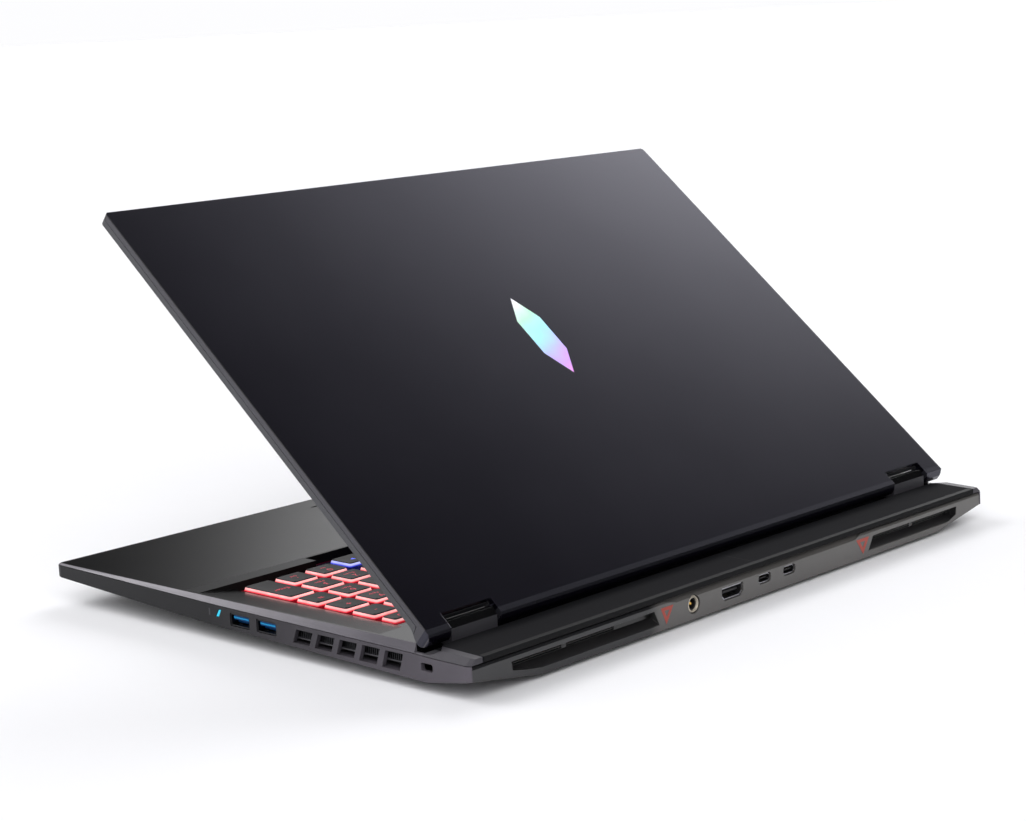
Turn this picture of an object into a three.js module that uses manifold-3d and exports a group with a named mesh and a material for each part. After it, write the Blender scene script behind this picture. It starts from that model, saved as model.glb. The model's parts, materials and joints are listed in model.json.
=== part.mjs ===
// Large gaming laptop, lid part open. Millimetres, +Z up.
// X runs to the user's right, Y to the rear, and Z = 0 is the table under the feet.
// Base, keys and lid are separate pieces. The lid is drawn closed and its group is turned open.
import * as THREE from 'three';
import { mergeVertices } from 'three/addons/utils/BufferGeometryUtils.js';
import Module from 'manifold-3d';

const wasm = await Module();
wasm.setup();

// ---- Driving dimensions ----
const HALF_WIDTH = 200;
const FRONT_Y = -150;
const REAR_Y = 150;
const DECK_Z = 21;
const SHELF_FRONT_Z = 19.7;
const SHELF_REAR_Z = 18.9;
const UNDERSIDE_Z = 2.2;
const WALL = 2.3;
const SKIN = 2;
const GAP = 0.3;
const TALL = 40;

// Hinge axis, lid size and rest angle
const HINGE_Y = 120.6;
const HINGE_Z = 24.3;
const LID_OPEN = THREE.MathUtils.degToRad(40.24);
const LID_HALF_WIDTH = 199.28;
const LID_FAR_Y = -271.8;
const LID_END_Y = 2.12;
const LID_OUTER_Z = 4.41;
const LID_INNER_Z = -1.6;
const LID_SPLIT_Z = 1.6;
const LID_BARREL_R = 4.4;
const LID_PLATE = 1.3;
const BEZEL_PLATE = 1;

// Trough behind the deck where the lid's rounded end turns
const TROUGH_FRONT_Y = 116.2;
const TROUGH_REAR_Y = 124;
const TROUGH_FLOOR_Z = 17.3;

// Deck skirt: inner faces of its sides, and of the lip over the rear trim
const RIM_INNER_X = 196.3;
const REAR_LIP_Y = 140;

// Hinge covers, pins and knuckles
const COVER_X0 = 155.2;
const COVER_X1 = 183.8;
const NOTCH_MARGIN = 1.4;
const NOTCH_Y = -6.3;
const PIN_R = 1.1;
const BORE_R = 1.4;
const KNUCKLE_R = 2;

// Keyboard
const KEY_PITCH = 19.5;
const KEY_BASE = 15.8;
const KEY_TAPER = 0.7;
const KEY_CORNER = 1.6;
const KEY_TOP_Z = 20;
const KEY_BOTTOM_Z = 17.9;
const KEY_STEM_Z = 17.3;
const FUNCTION_KEY_DEPTH = 9.9;
const MAIN_LEFT_X = -176.35;
const NUMPAD_X = [108.1, 127.6, 147.1, 166.6];
const BOTTOM_ROW_Y = -22.2;
const FUNCTION_ROW_Y = 72.6;
const ARROW_SHIFT_Y = -4.6;
const rowY = (row) => BOTTOM_ROW_Y + KEY_PITCH * (5 - row);

// Keyboard well
const WELL_FLOOR_Z = 18.5;
const WELL_HOLE_X = 177;
const WELL_EDGE_X = 197.2;
const WELL_FRONT_Y = -36;
const WELL_REAR_Y = 91.5;
const WELL_HOLE_REAR_Y = 80.8;
const PLATE_TOP_Z = 15.7;
const PLATE_THICK = 0.8;

// Touchpad opening
const PAD = { x0: -90, x1: 40, y0: -133, y1: -52 };
const PAD_TOP_Z = 20.75;
const PAD_THICK = 1.6;

// Ports on the side walls: centre and cut-out size in Y and Z
const USB_A = { width: 14.4, height: 6.5, z: 12.8 };
const USB_A_RIGHT_Y = [-2.4, 16.9];
const USB_A_LEFT_Y = -22;
const ETHERNET = { y: 2, z: 11.9, width: 15.2, height: 7.8 };
const AUDIO = { y: -38, z: 12.7, r: 3.3 };
const LOCK_SLOT = { y0: 120, y1: 127.4, z0: 9.9, z1: 13.5 };

// Side vents: parallelograms leaning to the rear
const VENT_COUNT = 5;
const VENT_PITCH = 14.9;
const VENT_START_Y = 38.2;
const VENT_WIDTH = 11.4;
const VENT_TOP_Z = 15.3;
const VENT_LEAN = 2.8;
const VENT_LOW_Z = 8.7;
const VENT_LOW_STEP = 0.36;

// Ports and grilles in the rear trim
const TRIM_FRONT_Y = 142;
const TRIM_FACE_Y = 149.7;
const TRIM_TOP_Z = 15.75;
const DC_JACK = { x: 49.7, z: 9.3, r: 4.5 };
const HDMI = { x0: 12.1, x1: 28.6, z0: 5.6, z1: 12.1 };
const USB_C = { x: [-5, -24.9], z: 9.9, width: 10, height: 4.9 };
const GRILLE_SLOTS = [[102.5, 135], [138, 172.5], [-136, -101], [-171, -138.6]];
const LOUVRE = { rows: 3, z: 8.9, pitch: 1.12, slot: 0.78 };

// Fans and fins
const FAN = { x: 122, y: 66, half: 42, z0: 5, z1: 12.8, rotorR: 33, hubR: 12, eyeR: 24, blades: 15 };
const INTAKE = { r: 30, rows: 4, pitch: 6, slot: 2.8 };
const FIN_COUNT = 20;
const FIN_THICK = 0.5;

// ---- Solid helpers ----
function toSolid(geometry) {
  const bare = geometry.clone();
  bare.deleteAttribute('normal');
  bare.deleteAttribute('uv');
  const merged = mergeVertices(bare, 1e-4);
  const vertProperties = new Float32Array(merged.attributes.position.array);
  const triVerts = new Uint32Array(merged.index.array);
  return new wasm.Manifold(new wasm.Mesh({ numProp: 3, vertProperties, triVerts }));
}

function toGeometry(solid) {
  const { vertProperties, triVerts } = solid.getMesh();
  const geometry = new THREE.BufferGeometry();
  geometry.setAttribute('position', new THREE.BufferAttribute(vertProperties, 3));
  geometry.setIndex(new THREE.BufferAttribute(triVerts, 1));
  geometry.computeVertexNormals();
  return geometry;
}

const join = (...solids) => solids.flat().reduce((a, b) => a.add(b));
const cut = (base, ...tools) => tools.flat().reduce((a, b) => a.subtract(b), base);
const common = (a, b) => a.intersect(b);

function box(x0, x1, y0, y1, z0, z1) {
  const [xa, xb] = [Math.min(x0, x1), Math.max(x0, x1)];
  const [ya, yb] = [Math.min(y0, y1), Math.max(y0, y1)];
  const geometry = new THREE.BoxGeometry(xb - xa, yb - ya, z1 - z0);
  geometry.translate((xa + xb) / 2, (ya + yb) / 2, (z0 + z1) / 2);
  return toSolid(geometry);
}

// Prism of a closed outline: along z the outline is (x, y), along x it is (y, z), along y it is (x, z)
function prism(axis, outline, a, b) {
  const [from, to] = [Math.min(a, b), Math.max(a, b)];
  const shape = new THREE.Shape(outline.map(([u, v]) => new THREE.Vector2(u, v)));
  const geometry = new THREE.ExtrudeGeometry(shape, { depth: to - from, bevelEnabled: false });
  const basis = new THREE.Matrix4();
  const ex = new THREE.Vector3(1, 0, 0);
  const ey = new THREE.Vector3(0, 1, 0);
  const ez = new THREE.Vector3(0, 0, 1);
  if (axis === 'x') basis.makeBasis(ey, ez, ex).setPosition(from, 0, 0);
  if (axis === 'y') basis.makeBasis(ex, ez, ey.clone().negate()).setPosition(0, to, 0);
  if (axis === 'z') basis.makeTranslation(0, 0, from);
  geometry.applyMatrix4(basis);
  return toSolid(geometry);
}

function rod(axis, r, centre, a, b, sides = 24) {
  const ring = [];
  for (let i = 0; i < sides; i += 1) {
    const t = (2 * Math.PI * i) / sides;
    ring.push([centre[0] + r * Math.cos(t), centre[1] + r * Math.sin(t)]);
  }
  return prism(axis, ring, a, b);
}

// Skin through matching closed sections, each a convex ring of [x, y, z]
function loft(sections) {
  const points = sections.flat(2);
  const n = sections[0].length;
  const index = [];
  for (let s = 0; s < sections.length - 1; s += 1) {
    for (let i = 0; i < n; i += 1) {
      const a = s * n + i;
      const b = s * n + ((i + 1) % n);
      index.push(a, b, b + n, a, b + n, a + n);
    }
  }
  const last = (sections.length - 1) * n;
  for (let i = 1; i < n - 1; i += 1) {
    index.push(0, i + 1, i);
    index.push(last, last + i, last + i + 1);
  }
  const geometry = new THREE.BufferGeometry();
  geometry.setAttribute('position', new THREE.Float32BufferAttribute(points, 3));
  geometry.setIndex(index);
  const solid = toSolid(geometry);
  if (solid.volume() > 0) return solid;
  geometry.setIndex(index.reverse());
  return toSolid(geometry);
}

// Rectangle outline with its corners rounded by short arcs
function roundedRect(x0, x1, y0, y1, r, steps = 3) {
  const outline = [];
  const corners = [[x1 - r, y1 - r, 0], [x0 + r, y1 - r, 1], [x0 + r, y0 + r, 2], [x1 - r, y0 + r, 3]];
  for (const [cx, cy, quarter] of corners) {
    for (let i = 0; i <= steps; i += 1) {
      const t = (quarter + i / steps) * (Math.PI / 2);
      outline.push([cx + r * Math.cos(t), cy + r * Math.sin(t)]);
    }
  }
  return outline;
}

// Flat bar of constant width that follows a path in plan
function bar(path, width, z0, z1) {
  const left = [];
  const right = [];
  path.forEach((point, i) => {
    const before = path[Math.max(i - 1, 0)];
    const after = path[Math.min(i + 1, path.length - 1)];
    const along = new THREE.Vector2(after[0] - before[0], after[1] - before[1]).normalize();
    left.push([point[0] - (along.y * width) / 2, point[1] + (along.x * width) / 2]);
    right.unshift([point[0] + (along.y * width) / 2, point[1] - (along.x * width) / 2]);
  });
  return prism('z', [...left, ...right], z0, z1);
}

// ---- Finishes ----
function finish(color, roughness, metalness) {
  return new THREE.MeshStandardMaterial({ color, roughness, metalness });
}

const FINISH = {
  deck: finish('#2b2b30', 0.45, 0.1),
  shell: finish('#46444a', 0.5, 0.1),
  lid: finish('#1c1c22', 0.4, 0.3),
  lidEdge: finish('#2a2a2e', 0.45, 0.2),
  trim: finish('#4a4845', 0.3, 0.2),
  rubber: finish('#161616', 0.9, 0),
  keycap: finish('#26282b', 0.6, 0),
  backlight: finish('#b3243c', 0.6, 0),
  pad: finish('#232327', 0.35, 0.1),
  board: finish('#12331f', 0.6, 0),
  copper: finish('#b4673a', 0.35, 1),
  steel: finish('#8d8f93', 0.35, 1),
  plastic: finish('#18181a', 0.6, 0),
  battery: finish('#202124', 0.7, 0),
  screen: finish('#050506', 0.15, 0),
  emblem: finish('#a8d8e8', 0.2, 0.6),
  light: finish('#36cfe0', 0.4, 0),
};

const laptop = new THREE.Group();
const lid = new THREE.Group();
lid.position.set(0, HINGE_Y, HINGE_Z);
lid.rotation.x = -LID_OPEN;
laptop.add(lid);

function place(name, solid, material, group = laptop) {
  const mesh = new THREE.Mesh(toGeometry(solid), material);
  mesh.name = name;
  group.add(mesh);
}

// ---- Outer form of the base ----
// Stations from front to rear: y, half width, foot of the side wall, half width and level of the flat
// underside, level of the bevel's lower edge, half width and level of the deck
const BASE_STATIONS = [
  [FRONT_Y, 196.5, 14.3, 150, 13.9, 20.4, 195.4, 20.7],
  [-148.4, 199.3, 14.2, 152, 13.5, 20.45, 197.9, DECK_Z],
  [-146, HALF_WIDTH, 14, 154, 13, 20.4, 198.6, DECK_Z],
  [-95, HALF_WIDTH, 11.5, 158, 2.7, 19.4, 198.5, DECK_Z],
  [-25, HALF_WIDTH, 8, 160, UNDERSIDE_Z, 18.1, 198.4, DECK_Z],
  [117, HALF_WIDTH, 4.95, 160, UNDERSIDE_Z, 16.9, 198.4, DECK_Z],
  [123, HALF_WIDTH, 4.8, 160, UNDERSIDE_Z, 16.6, 196.9, SHELF_FRONT_Z],
  [147.5, HALF_WIDTH, 8.8, 156, 2, 16.3, 196.7, SHELF_REAR_Z + 0.1],
  [REAR_Y, 199, 9.2, 156, 2, 16.3, 196, SHELF_REAR_Z],
];

function baseSection([y, half, footZ, keel, keelZ, bevelZ, topHalf, topZ]) {
  return [
    [-half, y, footZ], [-keel, y, keelZ], [keel, y, keelZ], [half, y, footZ],
    [half, y, bevelZ], [topHalf, y, topZ], [-topHalf, y, topZ], [-half, y, bevelZ],
  ];
}

const baseForm = loft(BASE_STATIONS.map(baseSection));

// Seam between the deck's side skirt and the lower case, rising to the front
const SEAM = [[-155, 20.5], [-95, 19.45], [-25, 18.15], [117, 16.75], [124, 16.35], [155, 16.15]];
const seamLine = (shift) => SEAM.map(([y, z]) => [y, z + shift]);
const aboveSeam = prism('x', [...seamLine(GAP / 2), [155, TALL], [-155, TALL]], -205, 205);
const belowSeam = prism('x', [[-155, -5], [155, -5], ...seamLine(-GAP / 2).reverse()], -205, 205);

// ---- Deck, keyboard well and rear shelf ----
function topCase() {
  const innerX = HALF_WIDTH - WALL - GAP;
  const innerFront = FRONT_Y + WALL + GAP;
  const rimHollow = box(-RIM_INNER_X, RIM_INNER_X, innerFront + 0.6, REAR_LIP_Y, 0, TALL);
  const rim = cut(common(baseForm, aboveSeam), rimHollow);
  const underside = [
    [innerFront, 19.2], [-47, 19.2], [-47, 16.2], [94, 16.2], [94, 19.2], [113.5, 19.2],
    [113.5, 15.4], [126, 15.4], [126, 16.6], [147.6, 16.6], [147.6, TALL], [innerFront, TALL],
  ];
  const plate = common(baseForm, prism('x', underside, -innerX, innerX));
  const wellOutline = [
    [-WELL_EDGE_X, DECK_Z + 0.02], [-WELL_HOLE_X, WELL_FLOOR_Z], [WELL_HOLE_X, WELL_FLOOR_Z],
    [WELL_EDGE_X, DECK_Z + 0.02], [WELL_EDGE_X, TALL], [-WELL_EDGE_X, TALL],
  ];
  const well = prism('y', wellOutline, WELL_FRONT_Y, WELL_REAR_Y);
  const wellHole = box(-WELL_HOLE_X, WELL_HOLE_X, WELL_FRONT_Y, WELL_HOLE_REAR_Y, 10, WELL_FLOOR_Z + 1);
  const arrowBay = box(52, 122, -44.4, WELL_FRONT_Y + 1, 10, TALL);
  const padHole = box(PAD.x0 - 0.4, PAD.x1 + 0.4, PAD.y0 - 0.4, PAD.y1 + 0.4, 10, TALL);
  // The trough flares to the rear at both ends, in front of the bevelled rear corners
  const troughPlan = [
    [-202, TROUGH_FRONT_Y], [202, TROUGH_FRONT_Y], [202, 119], [196.9, 130], [190, TROUGH_REAR_Y],
    [-190, TROUGH_REAR_Y], [-196.9, 130], [-202, 119],
  ];
  const trough = prism('z', troughPlan, TROUGH_FLOOR_Z, TALL);
  const bracketSlots = [-1, 1].map((side) => box(side * 159.4, side * 178.6, 118.7, 122.5, 10, TALL));
  return cut(join(rim, plate), well, wellHole, arrowBay, padHole, trough, bracketSlots);
}

// ---- Lower case ----
// Stations of the tray's inside: y, foot of the side wall, half width and level of the flat underside
const TRAY_STATIONS = [
  [FRONT_Y + WALL, 14.3, 150, 13.9],
  [-95, 11.5, 158, 2.7],
  [-25, 8, 160, UNDERSIDE_Z],
  [123, 4.95, 160, UNDERSIDE_Z],
  [155, 9.9, 156, UNDERSIDE_Z],
];

function traySection([y, footZ, keel, keelZ]) {
  const half = HALF_WIDTH - WALL;
  return [
    [-half, y, footZ + SKIN], [-keel, y, keelZ + SKIN], [keel, y, keelZ + SKIN], [half, y, footZ + SKIN],
    [half, y, TALL], [-half, y, TALL],
  ];
}

// Parallelogram vent through a side wall; the lower edge follows the wall's foot
function ventOutline(i) {
  const y = VENT_START_Y + VENT_PITCH * i;
  const lowY = y - VENT_LEAN;
  const lowZ = VENT_LOW_Z - VENT_LOW_STEP * i;
  return [[y, VENT_TOP_Z], [lowY, lowZ], [lowY + VENT_WIDTH, lowZ], [y + VENT_WIDTH, VENT_TOP_Z]];
}

function sideVents(side) {
  const vents = [];
  for (let i = 0; i < VENT_COUNT; i += 1) {
    vents.push(prism('x', ventOutline(i), side * 196, side * 202));
  }
  return vents;
}

// Fan intake: parallel slots in the underside, shorter towards the rim of a circle
function intakeSlots(side) {
  const slots = [];
  const x = side * FAN.x;
  for (let i = -INTAKE.rows; i <= INTAKE.rows; i += 1) {
    const y = FAN.y + INTAKE.pitch * i;
    const half = Math.sqrt(INTAKE.r ** 2 - (INTAKE.pitch * i) ** 2);
    slots.push(box(x - half, x + half, y - INTAKE.slot / 2, y + INTAKE.slot / 2, 0, 5));
  }
  return slots;
}

// Slanted power light in the right side wall, in Y and Z
function lightOutline(grow) {
  const [low, high] = [12.7 - grow, 16 + grow];
  return [[-19.9 - grow, low], [-18.3 + grow, low], [-16.2 + grow, high], [-17.8 - grow, high]];
}

function bottomCover() {
  const tray = cut(common(baseForm, belowSeam), loft(TRAY_STATIONS.map(traySection)));
  const trimPocket = box(-198.5, 198.5, TRIM_FRONT_Y - GAP, 155, -5, TALL);
  const usbHole = (side, y) => {
    const [y0, y1] = [y - USB_A.width / 2, y + USB_A.width / 2];
    const [z0, z1] = [USB_A.z - USB_A.height / 2, USB_A.z + USB_A.height / 2];
    return prism('x', roundedRect(y0, y1, z0, z1, 0.5, 1), side * 190, side * 202);
  };
  const ethernetHole = box(
    -202, -182, ETHERNET.y - ETHERNET.width / 2, ETHERNET.y + ETHERNET.width / 2,
    ETHERNET.z - ETHERNET.height / 2, ETHERNET.z + ETHERNET.height / 2,
  );
  const audioHole = rod('x', AUDIO.r, [AUDIO.y, AUDIO.z], -202, -190, 16);
  const lightHole = prism('x', lightOutline(0.3), 190, 202);
  const { y0, y1, z0, z1 } = LOCK_SLOT;
  const lockSlot = prism('x', roundedRect(y0, y1, z0, z1, 1, 2), 190, 202);
  return cut(
    tray,
    trimPocket,
    USB_A_RIGHT_Y.map((y) => usbHole(1, y)),
    usbHole(-1, USB_A_LEFT_Y),
    ethernetHole,
    audioHole,
    lightHole,
    lockSlot,
    sideVents(1),
    sideVents(-1),
    intakeSlots(1),
    intakeSlots(-1),
  );
}

// ---- Rear trim: ridge over two exhaust recesses, port panel between them ----
function rearTrim() {
  const profile = [
    [TRIM_FRONT_Y, -5], [149, -5], [TRIM_FACE_Y, 3], [TRIM_FACE_Y, 14.3],
    [148.9, 15.3], [147.4, TRIM_TOP_Z], [TRIM_FRONT_Y, TRIM_TOP_Z],
  ];
  const body = common(baseForm, prism('x', profile, -198.2, 198.2));
  // Set-back above the ports, with slanted ends
  const setBack = prism('x', [[150.2, 12.6], [147, TRIM_TOP_Z + 0.1], [151, TRIM_TOP_Z + 0.1]], -92, 78);
  const setBackEnds = prism('y', [[-92, 17], [-78, 12.4], [60, 12.4], [78, 17]], 140, 152);
  const recessRight = [[174.3, 12.3], [173.6, 8.3], [165, 6.5], [152, 4.7], [74.8, 4.7], [78.6, 12.3]];
  const recessLeft = [[-175.6, 12.3], [-175, 8], [-168, 5.6], [-158, 4.7], [-92.3, 4.7], [-97, 12.3]];
  // Recess floor slopes up from the lower lip to the slots
  const depthProfile = [[145.6, 12.6], [145.6, 8.7], [150.3, 4.5], [152, 4.5], [152, 12.6]];
  const recessDepth = prism('x', depthProfile, -190, 190);
  const recesses = [recessRight, recessLeft].map((outline) => {
    return common(prism('y', outline, 140, 152), recessDepth);
  });
  const louvres = [];
  for (const [x0, x1] of GRILLE_SLOTS) {
    for (let row = 0; row < LOUVRE.rows; row += 1) {
      const z = LOUVRE.z + LOUVRE.pitch * row;
      louvres.push(box(x0, x1, 140, 146, z, z + LOUVRE.slot));
    }
  }
  const jackHole = rod('y', DC_JACK.r, [DC_JACK.x, DC_JACK.z], 140, 152, 24);
  const hdmiHole = prism('y', hdmiOutline(0), 140, 152);
  const usbCHoles = USB_C.x.map((x) => prism('y', usbCOutline(x, 0), 140, 152));
  return cut(body, common(setBack, setBackEnds), recesses, louvres, jackHole, hdmiHole, usbCHoles);
}

// Socket outlines in X and Z, shrunk all round by inset
function hdmiOutline(inset) {
  const { x0, x1, z0, z1 } = HDMI;
  const slant = 2;
  return [
    [x0 + inset, z1 - inset], [x0 + inset, z0 + slant], [x0 + slant, z0 + inset],
    [x1 - slant, z0 + inset], [x1 - inset, z0 + slant], [x1 - inset, z1 - inset],
  ];
}

function usbCOutline(x, inset) {
  const halfWidth = USB_C.width / 2 - inset;
  const halfHeight = USB_C.height / 2 - inset;
  const corner = halfHeight * 0.7;
  return roundedRect(x - halfWidth, x + halfWidth, USB_C.z - halfHeight, USB_C.z + halfHeight, corner, 2);
}

// ---- Sockets ----
// USB-A: folded shell open to the outside, with the contact tongue in its upper half
function usbA(side, y) {
  const halfWidth = USB_A.width / 2 - GAP;
  const halfHeight = USB_A.height / 2 - GAP;
  const [faceX, backX] = [side * 199.5, side * 185];
  const shell = box(
    backX, faceX, y - halfWidth, y + halfWidth, USB_A.z - halfHeight, USB_A.z + halfHeight,
  );
  const mouth = box(
    side * 186.2, side * 201, y - halfWidth + 0.6, y + halfWidth - 0.6,
    USB_A.z - halfHeight + 0.55, USB_A.z + halfHeight - 0.55,
  );
  const tongue = box(side * 186, side * 198.6, y - 5.6, y + 5.6, USB_A.z + 0.1, USB_A.z + 1.9);
  return join(cut(shell, mouth), tongue);
}

function usbC(x) {
  const shell = prism('y', usbCOutline(x, GAP), 137, 148.9);
  const mouth = prism('y', usbCOutline(x, 0.9), 138, 150);
  const tongue = box(x - 3.2, x + 3.2, 137.8, 147.8, USB_C.z - 0.4, USB_C.z + 0.4);
  return join(cut(shell, mouth), tongue);
}

function hdmiPort() {
  const shell = prism('y', hdmiOutline(GAP), 136, 148.9);
  const mouth = prism('y', hdmiOutline(0.95), 137.2, 150);
  const tongue = box(HDMI.x0 + 2.6, HDMI.x1 - 2.6, 137, 147.8, 9, 10.2);
  return join(cut(shell, mouth), tongue);
}

function dcJack() {
  const centre = [DC_JACK.x, DC_JACK.z];
  const barrel = cut(rod('y', 4.2, centre, 135, 149.3, 24), rod('y', 2.95, centre, 137, 150, 24));
  return join(barrel, rod('y', 0.9, centre, 136.5, 147.6, 12));
}

function ethernetPort() {
  const halfWidth = ETHERNET.width / 2 - GAP;
  const halfHeight = ETHERNET.height / 2 - GAP;
  const { y, z } = ETHERNET;
  const shell = box(-199.5, -183, y - halfWidth, y + halfWidth, z - halfHeight, z + halfHeight);
  const mouth = box(-201, -185, y - 5.9, y + 5.9, z - 2.9, z + 2.9);
  return cut(shell, mouth);
}

function audioJack() {
  const sleeve = rod('x', AUDIO.r - GAP, [AUDIO.y, AUDIO.z], -199.5, -184, 16);
  return cut(sleeve, rod('x', 1.8, [AUDIO.y, AUDIO.z], -201, -186, 16));
}

// ---- Feet ----
function frontFoot(side) {
  const [x0, x1] = side > 0 ? [60, 150] : [-150, -60];
  return prism('z', roundedRect(x0, x1, -92, -84, 3.5), 0, UNDERSIDE_Z);
}

const rearFoot = () => prism('z', roundedRect(-145, 145, 126, 136, 4.5), 0, UNDERSIDE_Z - GAP);

// ---- Hinges ----
const atHinge = [HINGE_Y, HINGE_Z];

function hingeBracket(side) {
  const foot = box(side * 150, side * 182.5, 99, 121.9, 13.2, 14.4);
  const web = box(side * 160, side * 178, 119.3, 121.9, 13.2, HINGE_Z - 0.5);
  const knuckle = rod('x', KNUCKLE_R, atHinge, side * 160, side * 178, 20);
  return cut(join(foot, web, knuckle), rod('x', BORE_R, atHinge, side * 150, side * 190, 20));
}

function hingeCover(side) {
  const outer = [[123.6, 17.6], [123.6, 25], [121.3, 28.3], [118.5, 28.3], [116.8, 26.6], [116.8, 17.6]];
  const inner = [[122.95, 16], [122.95, 24.9], [121, 27.6], [118.8, 27.6], [117.6, 26.2], [117.6, 16]];
  const block = prism('x', outer, side * COVER_X0, side * COVER_X1);
  const hollow = prism('x', inner, side * (COVER_X0 + 1), side * (COVER_X1 - 1));
  const pinHole = rod('x', BORE_R + 0.2, atHinge, side * 150, side * (COVER_X0 + 2), 16);
  return cut(block, hollow, pinHole);
}

// Lid side of the hinge, in the lid's own frame: pin, lug and a strip screwed along the lid's foot
function hingeArm(side) {
  const pin = rod('x', PIN_R, [0, 0], side * 140, side * 177, 16);
  const lug = box(side * 138, side * 150.5, -8, PIN_R, -0.3, 1);
  const strip = box(side * 62, side * 150.5, -19.6, -7, -0.3, 1);
  return join(pin, lug, strip);
}

// ---- Lid ----
function lidProfile() {
  const arc = [];
  for (let degrees = -122; degrees <= -18; degrees += 13) {
    const t = THREE.MathUtils.degToRad(degrees);
    arc.push([LID_BARREL_R * Math.cos(t), LID_BARREL_R * Math.sin(t)]);
  }
  return [
    [LID_FAR_Y, LID_INNER_Z + 0.4], [LID_FAR_Y + 0.4, LID_INNER_Z], [-7.5, LID_INNER_Z], [-5.4, -2.1],
    ...arc, [4.05, 1.3], [LID_END_Y, LID_OUTER_Z],
    [LID_FAR_Y + 0.5, LID_OUTER_Z], [LID_FAR_Y, LID_OUTER_Z - 0.5],
  ];
}

const lidPlan = roundedRect(-LID_HALF_WIDTH, LID_HALF_WIDTH, LID_FAR_Y, 5, 3);
const lidForm = common(prism('x', lidProfile(), -205, 205), prism('z', lidPlan, -10, 10));

// Room inside the lid for panel, hinge strips and wires, and along the rounded foot between the hinges
const footHollow = [[2.2, 3.1], [2.2, -2.6], [-2.6, -2.6], [-5.6, -0.8], [-7.6, -0.6], [-7.6, 3.1]];
const lidHollow = join(
  box(-197.3, 197.3, LID_FAR_Y + SKIN, -7.5, LID_INNER_Z + BEZEL_PLATE, LID_OUTER_Z - LID_PLATE),
  prism('x', footHollow, -152.3, 152.3),
);

const notches = [-1, 1].map((side) => {
  const [x0, x1] = [side * (COVER_X0 - NOTCH_MARGIN), side * (COVER_X1 + NOTCH_MARGIN)];
  return box(x0, x1, NOTCH_Y, 10, -10, 10);
});
const pinHoles = [-1, 1].map((side) => rod('x', BORE_R, [0, 0], side * 150, side * 156, 16));

// Elongated hexagon in the middle of the lid's outer face
function emblemOutline(grow) {
  const [cx, cy, halfWidth, halfLength, shoulder] = [-1.2, -146, 8.5 + grow, 28 + grow * 1.6, 12];
  return [
    [cx, cy - halfLength], [cx + halfWidth, cy - shoulder], [cx + halfWidth, cy + shoulder],
    [cx, cy + halfLength], [cx - halfWidth, cy + shoulder], [cx - halfWidth, cy - shoulder],
  ];
}

function lidBackCover() {
  const seamZ = LID_SPLIT_Z + GAP / 2;
  const split = [[-280, seamZ], [-5, seamZ], [-3.2, -6], [10, -6], [10, 10], [-280, 10]];
  const half = common(lidForm, prism('x', split, -205, 205));
  const pocket = prism('z', emblemOutline(0.25), 3.7, 10);
  return cut(half, lidHollow, notches, pinHoles, pocket);
}

const WINDOW = { halfX: 193, y0: -263, y1: -21.7 };

function displayBezel() {
  const seamZ = LID_SPLIT_Z - GAP / 2;
  const split = [[-280, seamZ], [-5.3, seamZ], [-3.5, -6], [-280, -6]];
  const half = common(lidForm, prism('x', split, -205, 205));
  const window = box(-WINDOW.halfX, WINDOW.halfX, WINDOW.y0, WINDOW.y1, -5, 0);
  const lensHole = rod('z', 2, [0, -267.1], -5, 0, 16);
  return cut(half, lidHollow, notches, pinHoles, window, lensHole);
}

const displayPanel = () => box(-195.2, 195.2, -264.2, -20.6, -0.3, 2.7);

function webcamModule() {
  const board = box(-34, 34, -269.3, -264.9, -0.1, 1.6);
  return join(board, rod('z', 1.6, [0, -267.1], -1.2, 0, 16));
}

// ---- Keys ----
function capRing(cx, cy, width, depth, z) {
  const [w, d, c] = [width / 2, depth / 2, KEY_CORNER];
  return [
    [cx - w, cy - d + c, z], [cx - w + c, cy - d, z], [cx + w - c, cy - d, z], [cx + w, cy - d + c, z],
    [cx + w, cy + d - c, z], [cx + w - c, cy + d, z], [cx - w + c, cy + d, z], [cx - w, cy + d - c, z],
  ];
}

function keycap(cx, cy, width = KEY_BASE, depth = KEY_BASE) {
  const base = capRing(cx, cy, width, depth, KEY_BOTTOM_Z);
  const crown = capRing(cx, cy, width - 2 * KEY_TAPER, depth - 2 * KEY_TAPER, KEY_TOP_Z);
  return loft([base, crown]);
}

const stem = (cx, cy) => box(cx - 2.5, cx + 2.5, cy - 2.5, cy + 2.5, KEY_STEM_Z, KEY_BOTTOM_Z + 0.3);
const singleKey = (cx, cy, width, depth) => join(keycap(cx, cy, width, depth), stem(cx, cy));

// Carrier strip along the rear edge of a run of caps
const carrier = (x0, x1, rear) => box(x0, x1, rear - 0.7, rear + 1.4, KEY_STEM_Z, KEY_BOTTOM_Z + 0.2);

// A run of caps given by their widths in key units, starting at a left edge
function keyRun(left, y, units, depth = KEY_BASE) {
  const caps = [];
  let x = left;
  for (const unit of units) {
    const width = unit * KEY_PITCH;
    caps.push(keycap(x + width / 2, y, width - (KEY_PITCH - KEY_BASE), depth));
    x += width;
  }
  caps.push(carrier(left + 4, x - 4, y + depth / 2));
  return join(caps);
}

const ones = (count) => new Array(count).fill(1);
const unitX = (units) => MAIN_LEFT_X + units * KEY_PITCH;

// Function row: over the main keys and on over three numpad columns
function functionRow() {
  const main = keyRun(MAIN_LEFT_X, FUNCTION_ROW_Y, ones(14), FUNCTION_KEY_DEPTH);
  const padKeys = keyRun(NUMPAD_X[0] - KEY_PITCH / 2, FUNCTION_ROW_Y, ones(3), FUNCTION_KEY_DEPTH);
  const link = carrier(unitX(14) - 5, NUMPAD_X[0], FUNCTION_ROW_Y + FUNCTION_KEY_DEPTH / 2);
  return join(main, padKeys, link);
}

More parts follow.
